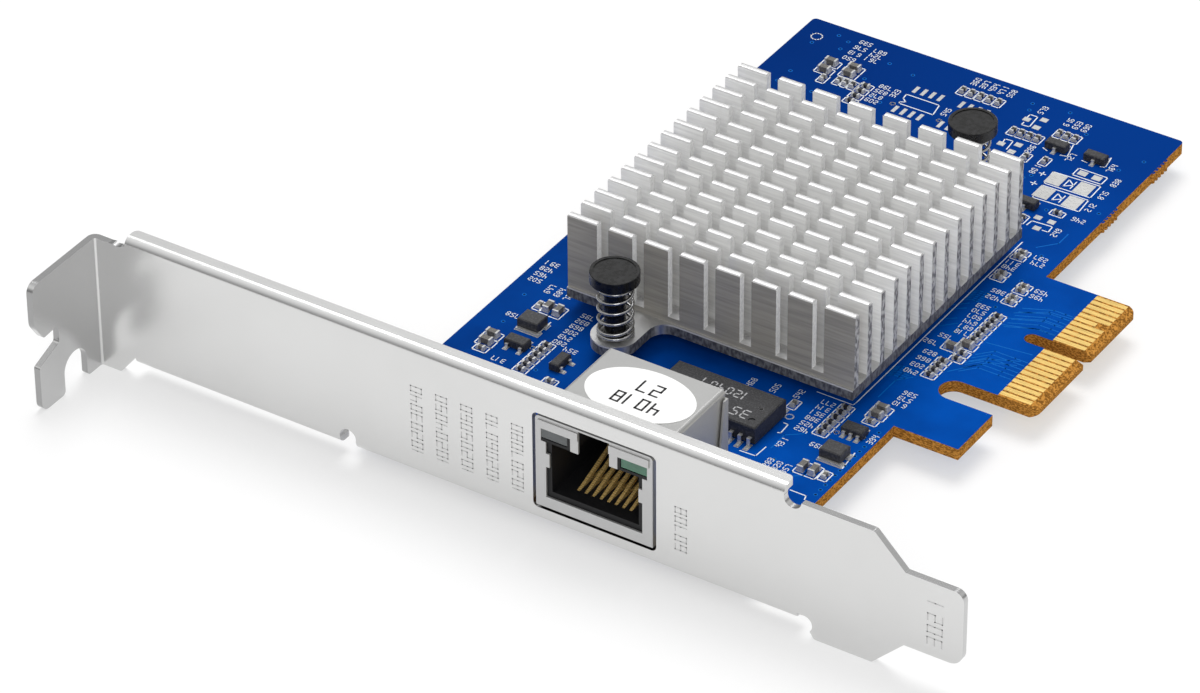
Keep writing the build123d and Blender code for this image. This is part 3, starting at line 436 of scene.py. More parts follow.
@dataclass(frozen=True)
class SolderMask:
    """Blue solder mask on the board's faces, darker to the left and the back by painted shade; bare woven
    laminate on its cut edges and round the contacts.
    """

    name: str = "blue_solder_mask"
    colour: Triple = (0.0, 0.072, 0.40)
    shade: Triple = (0.0, 0.050, 0.29)
    far: Triple = (0.0, 0.034, 0.22)
    dim: Triple = (0.0, 0.012, 0.09)
    dim_share: float = 0.48
    left: tuple[float, float] = (38.0, 75.0)
    back: tuple[float, float] = (60.0, 98.0)
    laminate: Triple = (0.55, 0.25, 0.05)
    laminate_dark: Triple = (0.20, 0.085, 0.015)
    bare_from: float = 97.7
    bare_beside: float = 44.5
    cloud_scale: float = 160.0
    weave_scale: float = 3000.0
    weave_stretch: Triple = (1.0, 1.0, 2.5)
    skin_scale: float = 1600.0
    skin_depth: float = 0.000005
    skin_strength: float = 0.5
    roughness: tuple[float, float] = (0.8, 0.48)
    sheen: float = 0.01

    def build(self) -> bpy.types.Material:
        """Make the material, with the face told from the edge by the surface's direction."""
        sheet = NodeSheet(self.name)
        near = sheet.blend(sheet.levels(sheet.noise(self.cloud_scale), 0.0, 1.0), self.colour, self.shade)
        # Painted shade: the mask's blue is darkened towards the back and, more, towards the left, as shade
        # falls on the board.
        leftward_shade = sheet.both(sheet.not_in(sheet.ramp(ALONG_X, *self.left)), self.dim_share)
        mask = sheet.blend(leftward_shade, sheet.blend(sheet.ramp(ALONG_Y, *self.back), near, self.far), self.dim)
        weave = sheet.noise(self.weave_scale, 5.0, self.weave_stretch)
        edge = sheet.blend(sheet.levels(weave, 0.0, 1.0, 0.42, 0.58), self.laminate, self.laminate_dark)
        bare = sheet.both(
            sheet.beyond(ALONG_X, self.bare_from), sheet.beyond(ALONG_Y, self.bare_beside)
        )
        masked = sheet.both(sheet.flat_across(ALONG_Z), sheet.not_in(bare))
        sheet.set(
            Base_Color=sheet.blend(masked, edge, mask), Specular_IOR_Level=self.sheen,
            Roughness=sheet.levels(masked, *self.roughness, 0.0, 1.0),
        )
        sheet.relief(sheet.noise(self.skin_scale, 3.0), self.skin_depth, self.skin_strength)
        return sheet.material


@dataclass(frozen=True)
class Moulding:
    """Moulded plastic, ferrite or ceramic with a fine pitted skin."""

    name: str
    colour: Triple
    roughness: float
    fleck: Triple
    scale: float = 3500.0
    depth: float = 0.00001
    sheen: float = 0.5
    flecked: tuple[float, float] = (0.45, 0.75)
    smoother: float = 0.06
    rougher: float = 0.08

    def build(self) -> bpy.types.Material:
        """Make the material."""
        sheet = NodeSheet(self.name)
        skin = sheet.noise(self.scale, 5.0)
        sheet.set(
            Base_Color=sheet.blend(sheet.levels(skin, 0.0, 1.0, *self.flecked), self.colour, self.fleck),
            Roughness=sheet.levels(skin, self.roughness - self.smoother, self.roughness + self.rougher),
            Specular_IOR_Level=self.sheen,
        )
        sheet.relief(skin, self.depth)
        return sheet.material


@dataclass(frozen=True)
class LightLens:
    """Clear coloured plastic over an indicator light."""

    name: str
    colour: Triple
    scale: float = 700.0
    darkest: float = 0.7
    roughness: tuple[float, float] = (0.12, 0.25)
    clearness: float = 0.35
    bending: float = 1.49
    gloss: float = 0.4

    def build(self) -> bpy.types.Material:
        """Make the material, with darker and lighter clouds in its colour."""
        sheet = NodeSheet(self.name)
        cloud = sheet.noise(self.scale, 3.0)
        darker = tuple(channel * self.darkest for channel in self.colour)
        sheet.set(
            Base_Color=sheet.blend(sheet.levels(cloud, 0.0, 1.0), self.colour, darker),
            Roughness=sheet.levels(cloud, *self.roughness), Transmission_Weight=self.clearness,
            IOR=self.bending, Coat_Weight=self.gloss,
        )
        return sheet.material


@dataclass(frozen=True)
class FlatPrint:
    """Ink, foil or paper laid on a surface, slightly uneven."""

    name: str
    colour: Triple
    roughness: float
    wear: float = 0.1
    sheen: float = 0.3
    scale: float = 2500.0
    spread: float = 0.05
    depth: float = 0.000003
    strength: float = 0.5

    def build(self) -> bpy.types.Material:
        """Make the material."""
        sheet = NodeSheet(self.name)
        tooth = sheet.noise(self.scale)
        worn = tuple(channel * (1.0 - self.wear) for channel in self.colour)
        sheet.set(
            Base_Color=sheet.blend(sheet.levels(tooth, 0.0, 1.0), self.colour, worn),
            Roughness=sheet.levels(tooth, self.roughness - self.spread, self.roughness + self.spread),
            Specular_IOR_Level=self.sheen,
        )
        sheet.relief(tooth, self.depth, self.strength)
        return sheet.material


class FinishBook:
    """Every finish on the card, made once."""

    def __init__(self) -> None:
        """Make the materials."""
        # Bracket: its faces across X are darker by painted shade, its edges grey by a painted dark
        # reflection.
        self.bracket = MetalSheet(
            "bracket_sheet", (0.72, 0.72, 0.715), 0.25, grain_length=40.0, grain_scale=9000.0,
            grain_depth=0.0000003, grain_contrast=0.02, cloud=0.015, edge=(0.36, 0.36, 0.36),
            inside=(0.56, 0.56, 0.56),
        ).build()
        # Shield: its front and its faces across X are lit copies of the metal, in painted light.
        self.shield = MetalSheet(
            "shield_sheet", (0.38, 0.38, 0.375), 0.36, ALONG_Z, 4.0, cloud=0.03, metallic=0.45,
            front=(0.52, 0.52, 0.52), inside=(0.42, 0.415, 0.39),
        ).build()
        self.spring = MetalSheet("spring_wire", (0.42, 0.42, 0.42), 0.18, ALONG_Z, 5.0).build()
        self.tinned = MetalSheet(
            "tinned_metal", (0.66, 0.66, 0.65), 0.3, grain_length=3.0, cloud=0.1, metallic=0.6
        ).build()
        self.screw = MetalSheet("screw_steel", (0.5, 0.5, 0.5), 0.3, grain_length=2.0).build()
        self.sink = SawnAluminium().build()
        self.board = SolderMask().build()
        self.gold = MetalSheet("gold_plating", (0.88, 0.61, 0.20), 0.3, grain_length=12.0).build()
        self.wire = MetalSheet(
            "contact_wire", (1.0, 0.68, 0.24), 0.28, grain_length=12.0, metallic=0.5
        ).build()
        mouldings = (
            Moulding("black_moulding", (0.006, 0.006, 0.007), 0.5, (0.014, 0.014, 0.015), sheen=0.3),
            Moulding("pin_nylon", (0.004, 0.004, 0.004), 0.28, (0.012, 0.012, 0.013), 1800.0, sheen=0.35),
            Moulding("chip_epoxy", (0.018, 0.018, 0.02), 0.5, (0.07, 0.07, 0.075), 5000.0, sheen=0.35),
            Moulding("ferrite", (0.025, 0.025, 0.027), 0.55, (0.07, 0.07, 0.075), 4000.0, sheen=0.4),
            Moulding("grey_ceramic", (0.09, 0.085, 0.08), 0.45, (0.20, 0.19, 0.17), 5000.0),
            Moulding("black_glaze", (0.015, 0.015, 0.018), 0.3, (0.03, 0.03, 0.034), 5000.0),
            Moulding("grey_pad", (0.35, 0.35, 0.38), 0.8, (0.42, 0.42, 0.45)),
        )
        self.black, self.pin, self.chip, self.ferrite, self.ceramic, self.glaze, self.pad = (
            moulding.build() for moulding in mouldings
        )
        self.green = LightLens("green_lens", (0.07, 0.25, 0.15)).build()
        self.clear = LightLens("clear_lens", (0.13, 0.145, 0.15)).build()
        prints = (
            FlatPrint("label_paper", (0.93, 0.93, 0.92), 0.5, wear=0.03),
            FlatPrint("white_ink", (0.82, 0.85, 0.88), 0.6),
            FlatPrint("covered_track", (0.0, 0.125, 0.50), 0.5, wear=0.2, sheen=0.05),
            FlatPrint("hole_shadow", (0.0, 0.012, 0.05), 0.6, sheen=0.05),
            FlatPrint("grey_ink", (0.45, 0.45, 0.46), 0.6),
            FlatPrint("dark_ink", (0.02, 0.02, 0.022), 0.6),
        )
        self.paper, self.white_ink, self.track, self.hole, self.grey_ink, self.dark_ink = (
            ink.build() for ink in prints
        )
        self.etched = MetalSheet("etched_sheet", (0.61, 0.61, 0.605), 0.45, cloud=0.02).build()


def clean_mesh(name: str, points: np.ndarray, faces: np.ndarray) -> bpy.types.Mesh:
    """Put arrays of points and faces into a mesh.

    Args:
        name: the mesh's name.
        points: places in metres, one row a point.
        faces: point numbers, one row a face.

    Returns:
        The mesh.
    """
    mesh = bpy.data.meshes.new(name)
    mesh.from_pydata(points.tolist(), [], faces.tolist())
    mesh.validate()
    mesh.update()
    return mesh


def show(
    name: str, surface: Surface, finish: bpy.types.Material, smooth: bool
) -> bpy.types.Object:
    """Add a piece that rides on the card.

    Args:
        name: the piece's name.
        surface: its points and faces, in place.
        finish: its material.
        smooth: whether its faces are shaded as one surface.

    Returns:
        The piece.
    """
    mesh = clean_mesh(name, *surface)
    if smooth:
        mesh.shade_smooth()
    else:
        mesh.shade_flat()
    mesh.materials.append(finish)
    piece = bpy.data.objects.new(name, mesh)
    bpy.context.scene.collection.objects.link(piece)
    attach(piece, Body.CARD.value)
    LOG.info("piece %s: %d faces", name, len(mesh.polygons))
    return piece


def solid_boxes(node: str) -> np.ndarray:
    """Box of each separate solid of a CAD node.

    Points at the same place share a number, and each triangle hands its lowest number to its corners
    until nothing changes, so that every solid ends with one number.

    Args:
        node: the node's name.

    Returns:
        One row a solid: its lowest corner, then its highest, in metres.
    """
    mesh = NODES[node].data
    places = np.empty(len(mesh.vertices) * 3)
    mesh.vertices.foreach_get("co", places)
    places = places.reshape(-1, 3)
    corners = np.empty(len(mesh.loops), dtype=np.int64)
    mesh.loops.foreach_get("vertex_index", corners)
    keys, owner = np.unique(np.round(places * CELLS_A_METRE).astype(np.int64), axis=0, return_inverse=True)
    triangles = owner.reshape(-1)[corners].reshape(-1, 3)
    label = np.arange(len(keys))
    while True:
        lowest = label[triangles].min(axis=1)
        fresh = label.copy()
        np.minimum.at(fresh, triangles.ravel(), np.repeat(lowest, 3))
        if np.array_equal(fresh, label):
            break
        label = fresh
    shared = keys / CELLS_A_METRE
    return np.array([
        np.concatenate([shared[label == solid].min(axis=0), shared[label == solid].max(axis=0)])
        for solid in np.unique(label)
    ])


def grid_faces(rows: int, columns: int) -> np.ndarray:
    """Quads of a grid of points that are numbered row by row, whose last column joins the first.

    Args:
        rows: points down.
        columns: points across.

    Returns:
        One row of four point numbers a quad.
    """
    down = np.arange(rows - 1)[:, None]
    across = np.arange(columns)[None, :]
    next_down = down + 1
    next_across = (across + 1) % columns
    quads = [down * columns + across, down * columns + next_across,
             next_down * columns + next_across, next_down * columns + across]
    return np.stack([np.broadcast_to(quad, (down.size, across.size)).ravel() for quad in quads], axis=1)


def repeated(faces: np.ndarray, points: int, count: int) -> np.ndarray:
    """Faces of equal shapes whose points follow one another.

    Args:
        faces: the first shape's faces.
        points: how many points each shape has.
        count: how many shapes there are.

    Returns:
        One row of point numbers a face.
    """
    return (faces + points * np.arange(count)[:, None, None]).reshape(-1, faces.shape[1])


def on_board(places: np.ndarray, height: float = 0.0) -> np.ndarray:
    """Places over the board's component side, in the frame.

    Args:
        places: x and y in card millimetres.
        height: their height over the board in millimetres.

    Returns:
        One row of three measures in metres a place.
    """
    tall = np.full((*places.shape[:-1], 1), height)
    return np.concatenate([places, tall], axis=-1).reshape(-1, 3) * MM + ORIGIN


def turned(profile: np.ndarray, centre: np.ndarray, steps: int) -> Surface:
    """Turn a profile about an upright axis: x = r cos t, y = r sin t, z = h.

    Args:
        profile: rows of radius and height in metres, from the bottom up, along the outside.
        centre: the axis' place.
        steps: points round the axis.

    Returns:
        Points and quads, whose ends are closed where the radius is zero.
    """
    angle = np.linspace(0.0, 2.0 * np.pi, steps, endpoint=False)
    radius = profile[:, 0][:, None]
    height = np.broadcast_to(profile[:, 1][:, None], (len(profile), steps))
    points = np.stack([radius * np.cos(angle), radius * np.sin(angle), height], axis=-1).reshape(-1, 3)
    return points + centre, grid_faces(len(profile), steps)


def tube(path: np.ndarray, radius: float, sides: int) -> Surface:
    """Carry a circle along a path; each ring lies across the path's direction there.

    Args:
        path: rows of places in metres.
        radius: the tube's radius.
        sides: points round the tube.

    Returns:
        Points and quads, with the two ends drawn in to close them.
    """
    along = np.gradient(path, axis=0)
    along /= np.linalg.norm(along, axis=1)[:, None]
    upright = np.array([0.0, 0.0, 1.0])
    side = np.cross(along, upright)
    side /= np.linalg.norm(side, axis=1)[:, None]
    over = np.cross(side, along)
    angle = np.linspace(0.0, 2.0 * np.pi, sides, endpoint=False)[None, :, None]
    size = np.full(len(path), radius)
    size[[0, -1]] = radius * TUBE_TIP
    rings = path[:, None, :] + size[:, None, None] * (
        np.cos(angle) * side[:, None, :] + np.sin(angle) * over[:, None, :]
    )
    return rings.reshape(-1, 3), grid_faces(len(path), sides)


def blocks(low: np.ndarray, high: np.ndarray, top_inset: float = 0.0) -> Surface:
    """Many blocks at once, each with its top drawn in by an inset.

    Args:
        low: lowest corners, one row a block.
        high: highest corners.
        top_inset: how far the top's edges stand inside the base's, in metres.

    Returns:
        Points and quads.
    """
    signs = np.array([(0, 0, 0), (1, 0, 0), (1, 1, 0), (0, 1, 0), (0, 0, 1), (1, 0, 1), (1, 1, 1), (0, 1, 1)])
    points = low[:, None, :] + signs[None, :, :] * (high - low)[:, None, :]
    points[:, :, :2] += top_inset * signs[:, 2:3] * (1 - 2 * signs[:, :2])
    quads = np.array([(0, 3, 2, 1), (4, 5, 6, 7), (0, 1, 5, 4), (1, 2, 6, 5), (2, 3, 7, 6), (3, 0, 4, 7)])
    return points.reshape(-1, 3), repeated(quads, len(signs), len(low))


def strips(lines: np.ndarray, width: float, height: float) -> Surface:
    """Flat strips along straight lines on the board, lengthened by half their width at each end.

    Args:
        lines: rows of x0, y0, x1, y1 in card millimetres.
        width: the strips' width in millimetres.
        height: the surface's height over the board in millimetres.

    Returns:
        Points and quads in the frame.
    """
    start = lines[:, :2]
    end = lines[:, 2:4]
    run = end - start
    length = np.linalg.norm(run, axis=1)[:, None]
    unit = run / np.maximum(length, 1e-9)
    across = np.stack([-unit[:, 1], unit[:, 0]], axis=1) * width / 2
    reach = unit * width / 2
    flat = np.stack(
        [start - reach - across, end + reach - across, end + reach + across, start - reach + across], axis=1
    )
    points = on_board(flat, height)
    return points, np.arange(len(points)).reshape(-1, 4)


def joined(parts: list[Surface]) -> Surface:
    """Join arrays of points and quads into one.

    Args:
        parts: pairs of points and quads.

    Returns:
        One pair.
    """
    counts = np.cumsum([0] + [len(points) for points, _ in parts])
    faces = [face + count for (_, face), count in zip(parts, counts)]
    return np.concatenate([points for points, _ in parts]), np.concatenate(faces)


@dataclass
class NodeDresser:
    """Gives every CAD node that stays in view its finish."""

    book: FinishBook
    finishes: dict[str, str] = field(default_factory=lambda: {
        "bracket": "bracket", "bracket_screws": "screw", "circuit_board": "board", "edge_contacts": "gold",
        "heat_sink": "sink", "thermal_pad": "pad", "network_chip": "chip", "push_pins": "pin",
        "pin_springs": "spring", "jack_shield": "shield", "jack_housing": "black", "jack_contacts": "wire",
        "left_light_lens": "clear", "right_light_lens": "green", "inspection_sticker": "paper",
        "line_transformer": "chip", "transformer_leads": "tinned", "inductor_bodies": "ferrite",
        "inductor_terminals": "tinned", "left_regulator": "chip", "left_regulator_leads": "tinned",
        "right_regulator": "chip", "right_regulator_leads": "tinned", "transistor_bodies": "chip",
        "transistor_leads": "tinned", "capacitor_bodies": "ceramic", "capacitor_end_caps": "tinned",
        "resistor_bodies": "glaze", "resistor_end_caps": "tinned", "bare_pads": "tinned",
    })

    def dress(self) -> None:
        """Put each node's finish in its material slots."""
        for node, finish in self.finishes.items():
            materials = NODES[node].data.materials
            materials.clear()
            materials.append(getattr(self.book, finish))
            LOG.info("node %s: %s", node, finish)


@dataclass
class PushPinSprings:
    """Two coil springs between the heat sink's ears and the push pins' heads."""

    wire: float = 0.42 * MM
    working_turns: float = 4.0
    closed_turns: float = 1.6
    sides: int = 10
    steps_a_turn: int = 28

    def coil(self, low: np.ndarray, high: np.ndarray) -> Surface:
        """One spring inside a box: x = r cos t, y = r sin t, and z climbs one wire a turn in the
        closed ends and evenly between them.

        Args:
            low: the box's lowest corner.
            high: its highest corner.

        Returns:
            Points and quads.
        """
        turns = self.working_turns + 2 * self.closed_turns
        turn = np.linspace(0.0, turns, int(turns * self.steps_a_turn))
        closed = self.closed_turns * self.wire
        height = high[2] - low[2] - self.wire
        rise = np.interp(
            turn, [0.0, self.closed_turns, turns - self.closed_turns, turns],
            [0.0, closed, height - closed, height],
        )
        radius = (high[0] - low[0]) / 2 - self.wire / 2
        angle = 2 * np.pi * turn
        centre = (low + high) / 2
        path = np.stack([
            centre[0] + radius * np.cos(angle), centre[1] + radius * np.sin(angle),
            low[2] + self.wire / 2 + rise,
        ], axis=1)
        return tube(path, self.wire / 2, self.sides)

    def build(self, book: FinishBook) -> None:
        """Add both springs in place of the CAD node."""
        coils = [self.coil(row[:3], row[3:]) for row in solid_boxes("pin_springs")]
        piece = show("wound_springs", joined(coils), book.spring, True)
        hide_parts("pin_springs")


@dataclass
class SolderJoints:
    """Tin fillets round the ends of the chip parts."""

    spread: float = 0.1 * MM
    climb: float = 0.55
    start: float = 0.002 * MM
    slope: float = 0.9

    def fillets(self, node: str) -> Surface:
        """A sloping collar round the foot of each of a node's solids.

        Args:
            node: the node's name.

        Returns:
            Points and quads.
        """
        boxes = solid_boxes(node)
        low, high = boxes[:, :3].copy(), boxes[:, 3:].copy()
        low[:, :2] -= self.spread
        high[:, :2] += self.spread
        floor = ORIGIN[2]
        high[:, 2] = floor + (boxes[:, 5] - floor) * self.climb
        low[:, 2] = floor + self.start
        return blocks(low, high, self.spread * self.slope)

    def build(self, book: FinishBook) -> None:
        """Add the solder as one piece."""
        parts = [self.fillets(node) for node in ("capacitor_end_caps", "resistor_end_caps")]
        show("solder_joints", joined(parts), book.tinned, False)


def segments(corners: tuple[float, ...] | np.ndarray) -> np.ndarray:
    """Straight lines between the corners of an open outline.

    Args:
        corners: x and y of each place in turn, in card millimetres.

    Returns:
        Rows of x0, y0, x1, y1.
    """
    places = np.reshape(corners, (-1, 2))
    return np.concatenate([places[:-1], places[1:]], axis=1)


def ring(x: float, y: float, radius: float, steps: int = 12) -> np.ndarray:
    """A circle as straight lines: x = r cos t, y = r sin t.

    Args:
        x: its centre, in card millimetres.
        y: its centre.
        radius: its radius.
        steps: how many lines.

    Returns:
        Rows of x0, y0, x1, y1.
    """
    angle = np.linspace(0.0, 2.0 * np.pi, steps + 1)
    return segments(np.stack([x + radius * np.cos(angle), y + radius * np.sin(angle)], axis=1))


def discs(places: np.ndarray, radius: float, height: float, steps: int = 8) -> Surface:
    """Flat discs on the board, each made of four-cornered slices through its middle.

    Args:
        places: rows of x and y in card millimetres.
        radius: the discs' radius.
        height: their height over the board.
        steps: corners round each, an even number.

    Returns:
        Points and quads.
    """
    angle = 2.0 * np.pi * np.arange(steps) / steps
    rim = radius * np.stack([np.cos(angle), np.sin(angle)], axis=1)
    around = places[:, None, :] + np.concatenate([rim, np.zeros((1, 2))])
    even = np.arange(0, steps, 2)
    slices = np.stack([np.full_like(even, steps), even, even + 1, (even + 2) % steps], axis=1)
    return on_board(around, height), repeated(slices, steps + 1, len(places))


def card_boxes(node: str) -> np.ndarray:
    """Boxes of a node's solids in card millimetres: rows of x0, y0, z0, x1, y1, z1."""
    return (solid_boxes(node) - np.tile(ORIGIN, 2)) / MM


DIGIT_STROKES = {
    "top": (0, 2, 1, 2), "high right": (1, 1, 1, 2), "low right": (1, 0, 1, 1), "bottom": (0, 0, 1, 0),
    "low left": (0, 0, 0, 1), "high left": (0, 1, 0, 2), "middle": (0, 1, 1, 1),
}
DIGITS = (
    "1111110", "0110000", "1101101", "1111001", "0110011",
    "1011011", "1011111", "1110000", "1111111", "1111011",
)
DIGIT_PITCH = 1.75


def number_lines(number: int, x: float, y: float, turn: int, height: float) -> np.ndarray:
    """A plain number in straight strokes, centred on a place.

    Args:
        number: the number.
        x: its centre, in card millimetres.
        y: its centre.
        turn: quarter turns from reading along X.
        height: the digits' height.

    Returns:
        Rows of x0, y0, x1, y1.
    """
    strokes = np.array(list(DIGIT_STROKES.values()), dtype=float).reshape(-1, 2, 2)
    unit = height / 2
    text = str(number)
    pieces = []
    for place, digit in enumerate(text):
        shown = strokes[np.array([mark == "1" for mark in DIGITS[int(digit)]])]
        middle = (place - (len(text) - 1) / 2) * DIGIT_PITCH
        pieces.append((shown - (0.5 - middle, 1.0)) * unit)
    lines = np.concatenate(pieces)
    angle = turn * math.pi / 2
    spin = np.array([(math.cos(angle), math.sin(angle)), (-math.sin(angle), math.cos(angle))])
    return (lines @ spin + (x, y)).reshape(-1, 4)


@dataclass(frozen=True)
class NumberColumn:
    """Part numbers printed one after another at equal steps."""

    x: float
    y: float
    step_x: float = 0.0
    step_y: float = 0.0
    count: int = 1
    turn: int = 2
    lowest: int = 200
    stride: int = 37
    span: int = 700

    def lines(self, first: int, height: float) -> np.ndarray:
        """The column's strokes; its numbers go round the span in strides."""
        return np.concatenate([
            number_lines(
                self.lowest + (first + index) * self.stride % self.span,
                self.x + index * self.step_x, self.y + index * self.step_y, self.turn, height,
            )
            for index in range(self.count)
        ])


NUMBER_ROWS = (
    (88.1, 74.1, 0.2, -1.2, 2), (85.7, 71.5, 0, -1.1, 2), (87.2, 65.3, 0, -1.4, 2),
    (91.7, 67.9, 0, -1.2, 2), (87.2, 61.6, 0.1, -1.2, 6), (86.5, 53.9), (85.5, 52.0),
    (86.6, 50.0, 0, -1.5, 4), (81.7, 34.7, 0, -1.22, 6), (84.9, 26.8), (88.9, 41.4, 0, -1.2, 3),
    (41.1, 36.8, 1.4, 0, 3, 1), (40.3, 29.9), (48.2, 34.3, 0, -1.25, 6), (43.9, 21.3), (50.2, 27.4),
    (38.5, 41.4, 0, -1.3, 4), (45.3, 104.3, 0, -1.4, 4), (47.9, 103.5, 0, -1.1, 3),
    (52.7, 96.8, 0, -1.2, 4), (87.9, 83.8), (81.8, 21.0, 1.2, 0, 3, 1), (89.8, 31.3, 0, 0, 1, 1),
    (81.1, 25.1, 0, 0, 1, 1), (71.8, 33.5, 3.0, 0.5, 3, 1), (72.1, 102.9, 0, 0, 1, 1),
    (76.2, 102.2, 1.25, 0, 3, 1), (80.3, 95.4, 0, 0, 1, 1), (85.8, 96.0, 0, 0, 1, 1),
    (77.8, 90.7, 0, 0, 1, 1), (87.8, 93.4, 0, -3.2, 3, 1), (86.9, 80.0, 0, 0, 1, 1),
    (75.1, 94.4, 0, 0, 1, 1), (54.4, 96.3, 0, 0, 1, 1), (61.7, 104.1, 1.3, 0, 5, 1),
    (62.0, 96.0, 0, 0, 1, 1),
)
PART_OUTLINES = (
    (79.4, 36.0, 84.3, 36.0, 84.4, 36.4, 84.4, 76.0), (77.8, 21.2, 79.9, 21.3, 80.0, 23.4),
    (79.7, 26.6, 80.0, 26.7, 79.9, 28.6, 79.3, 28.6), (89.4, 27.9, 89.7, 24.6),
    (86.8, 17.8, 88.9, 17.8, 89.1, 17.1), (45.0, 27.8, 45.0, 31.0),
    (55.7, 96.9, 60.5, 96.9, 60.9, 94.6, 56.0, 94.6, 55.8, 94.9, 56.5, 95.3, 55.8, 95.9, 55.7, 96.9),
    (71.2, 100.5, 71.2, 101.2, 72.3, 101.2, 72.5, 98.7, 71.4, 98.6, 71.4, 99.2),
    (71.4, 94.0, 71.3, 94.7, 72.4, 94.8, 72.6, 92.8),
    (83.0, 79.6, 83.1, 80.7, 85.9, 80.9, 86.0, 79.6, 85.2, 79.6), (76.3, 95.5, 77.0, 95.2),
    (78.9, 95.2, 79.8, 95.4, 79.2, 98.0), (81.8, 95.6, 82.5, 95.5), (84.4, 95.6, 85.0, 95.8, 84.6, 98.0),
    (80.0, 91.5, 86.6, 91.8, 86.7, 88.9, 80.3, 88.7, 80.0, 91.5),
    (80.3, 88.2, 86.8, 88.3, 87.0, 85.5, 80.6, 85.2, 80.3, 88.2),
    (82.3, 93.9, 86.4, 93.9, 86.4, 92.2, 82.3, 92.2, 82.3, 93.9),
    (82.6, 91.0, 82.6, 89.4, 83.6, 90.2, 82.6, 91.0), (83.6, 91.0, 83.6, 89.4),
    (82.9, 87.6, 82.9, 86.0, 83.9, 86.8, 82.9, 87.6), (83.9, 87.6, 83.9, 86.0), (78.7, 90.4, 79.5, 90.4),
    (79.1, 90.0, 79.1, 90.8), (78.8, 88.0, 79.6, 88.0), (79.2, 87.6, 79.2, 88.4),
)
PRINTED_RINGS = (
    (79.2, 30.0, 0.5), (39.1, 102.4, 0.75), (85.5, 30.3, 0.3), (88.6, 31.1, 0.3), (46.0, 25.5, 0.3),
    (55.3, 94.1, 0.3), (62.2, 93.9, 0.3),
)


@dataclass
class BoardPrint:
    """White lines and plain numbers printed on the board."""

    line: float = 0.15
    height: float = 0.012
    digit_lift: float = 0.001
    digit_height: float = 0.74
    digit_line: float = 0.11
    side_margin: float = 0.37
    end_margin: float = 0.67

    def frames(self, node: str) -> np.ndarray:
        """An outline round each chip part, from the box of its body.

        Args:
            node: the node of the bodies.

        Returns:
            Rows of x0, y0, x1, y1.
        """
        boxes = card_boxes(node)
        centre = (boxes[:, :2] + boxes[:, 3:5]) / 2
        half = (boxes[:, 3:5] - boxes[:, :2]) / 2
        longer = half == half.max(axis=1)[:, None]
        half = half + np.where(longer, self.end_margin, self.side_margin)
        signs = np.array([(-1, -1), (1, -1), (1, 1), (-1, 1)])
        corners = centre[:, None, :] + signs[None, :, :] * half[:, None, :]
        return np.concatenate([corners, np.roll(corners, -1, axis=1)], axis=2).reshape(-1, 4)

    def numbers(self) -> np.ndarray:
        """Every part number's strokes."""
        number = 1
        lines = []
        for row in NUMBER_ROWS:
            column = NumberColumn(*row)
            lines.append(column.lines(number, self.digit_height))
            number += column.count
        return np.concatenate(lines)

    def build(self, book: FinishBook) -> None:
        """Add the print as one piece."""
        frames = [self.frames(node) for node in ("resistor_bodies", "capacitor_bodies")]
        outlines = [segments(corners) for corners in PART_OUTLINES]
        rings = [ring(*place) for place in PRINTED_RINGS]
        lines = strips(np.concatenate(frames + outlines + rings), self.line, self.height)
        digits = strips(self.numbers(), self.digit_line, self.height + self.digit_lift)
        show("board_print", joined([lines, digits]), book.white_ink, False)


@dataclass
class BracketMarks:
    """Plain numbers etched into the bracket's front beside the port and on its tongue."""

    first_x: float = 46.8
    step_x: float = 3.5
    columns: int = 5
    centre_z: float = 5.1
    height: float = 1.5
    line: float = 0.16
    lift: float = 0.008

    def build(self, book: FinishBook) -> None:
        """Add the marks as one piece, laid out flat and turned up onto the front."""
        marks = [
            number_lines(
                10203040 + 1010 * index, self.first_x + self.step_x * index, self.centre_z, 1, self.height
            )
            for index in range(self.columns)
        ]
        marks += [number_lines(60708, 83.0, 4.1, 1, self.height), number_lines(3021, 116.4, 4.4, 1, 1.9)]
        points, faces = strips(np.concatenate(marks), self.line, self.lift)
        flat = points - ORIGIN
        front = np.stack([flat[:, 0], -flat[:, 2], flat[:, 1]], axis=1) + ORIGIN
        show("bracket_marks", (front, faces), book.etched, False)


@dataclass
class PartPrint:
    """Plain numbers and a dot on the transformer, and numbers on the oval label."""

    lift: float = 0.01

    def mark(self, name: str, node: str, lines: np.ndarray, width: float, ink: bpy.types.Material) -> None:
        """Lay strokes on top of a node, measured from the middle of its top.

        Args:
            name: the piece's name.
            node: the node under the print.
            lines: rows of x0, y0, x1, y1 in millimetres.
            width: the strokes' width.
            ink: the print's material.
        """
        box = card_boxes(node)[0]
        middle = (box[:2] + box[3:5]) / 2
        show(name, strips(lines + np.tile(middle, 2), width, box[5] + self.lift), ink, False)

    def build(self, book: FinishBook) -> None:
        """Add the prints."""
        code = [
            number_lines(120407, 0.4, 1.3, 2, 1.3), number_lines(351, 3.6, -1.7, 2, 1.5),
            ring(6.0, 0.2, 0.18, 8),
        ]
        self.mark("transformer_print", "line_transformer", np.concatenate(code), 0.18, book.grey_ink)
        label = [number_lines(27, 0.4, 1.6, 2, 2.0), number_lines(4018, 0.4, -1.5, 2, 1.9)]
        self.mark("label_print", "inspection_sticker", np.concatenate(label), 0.28, book.dark_ink)


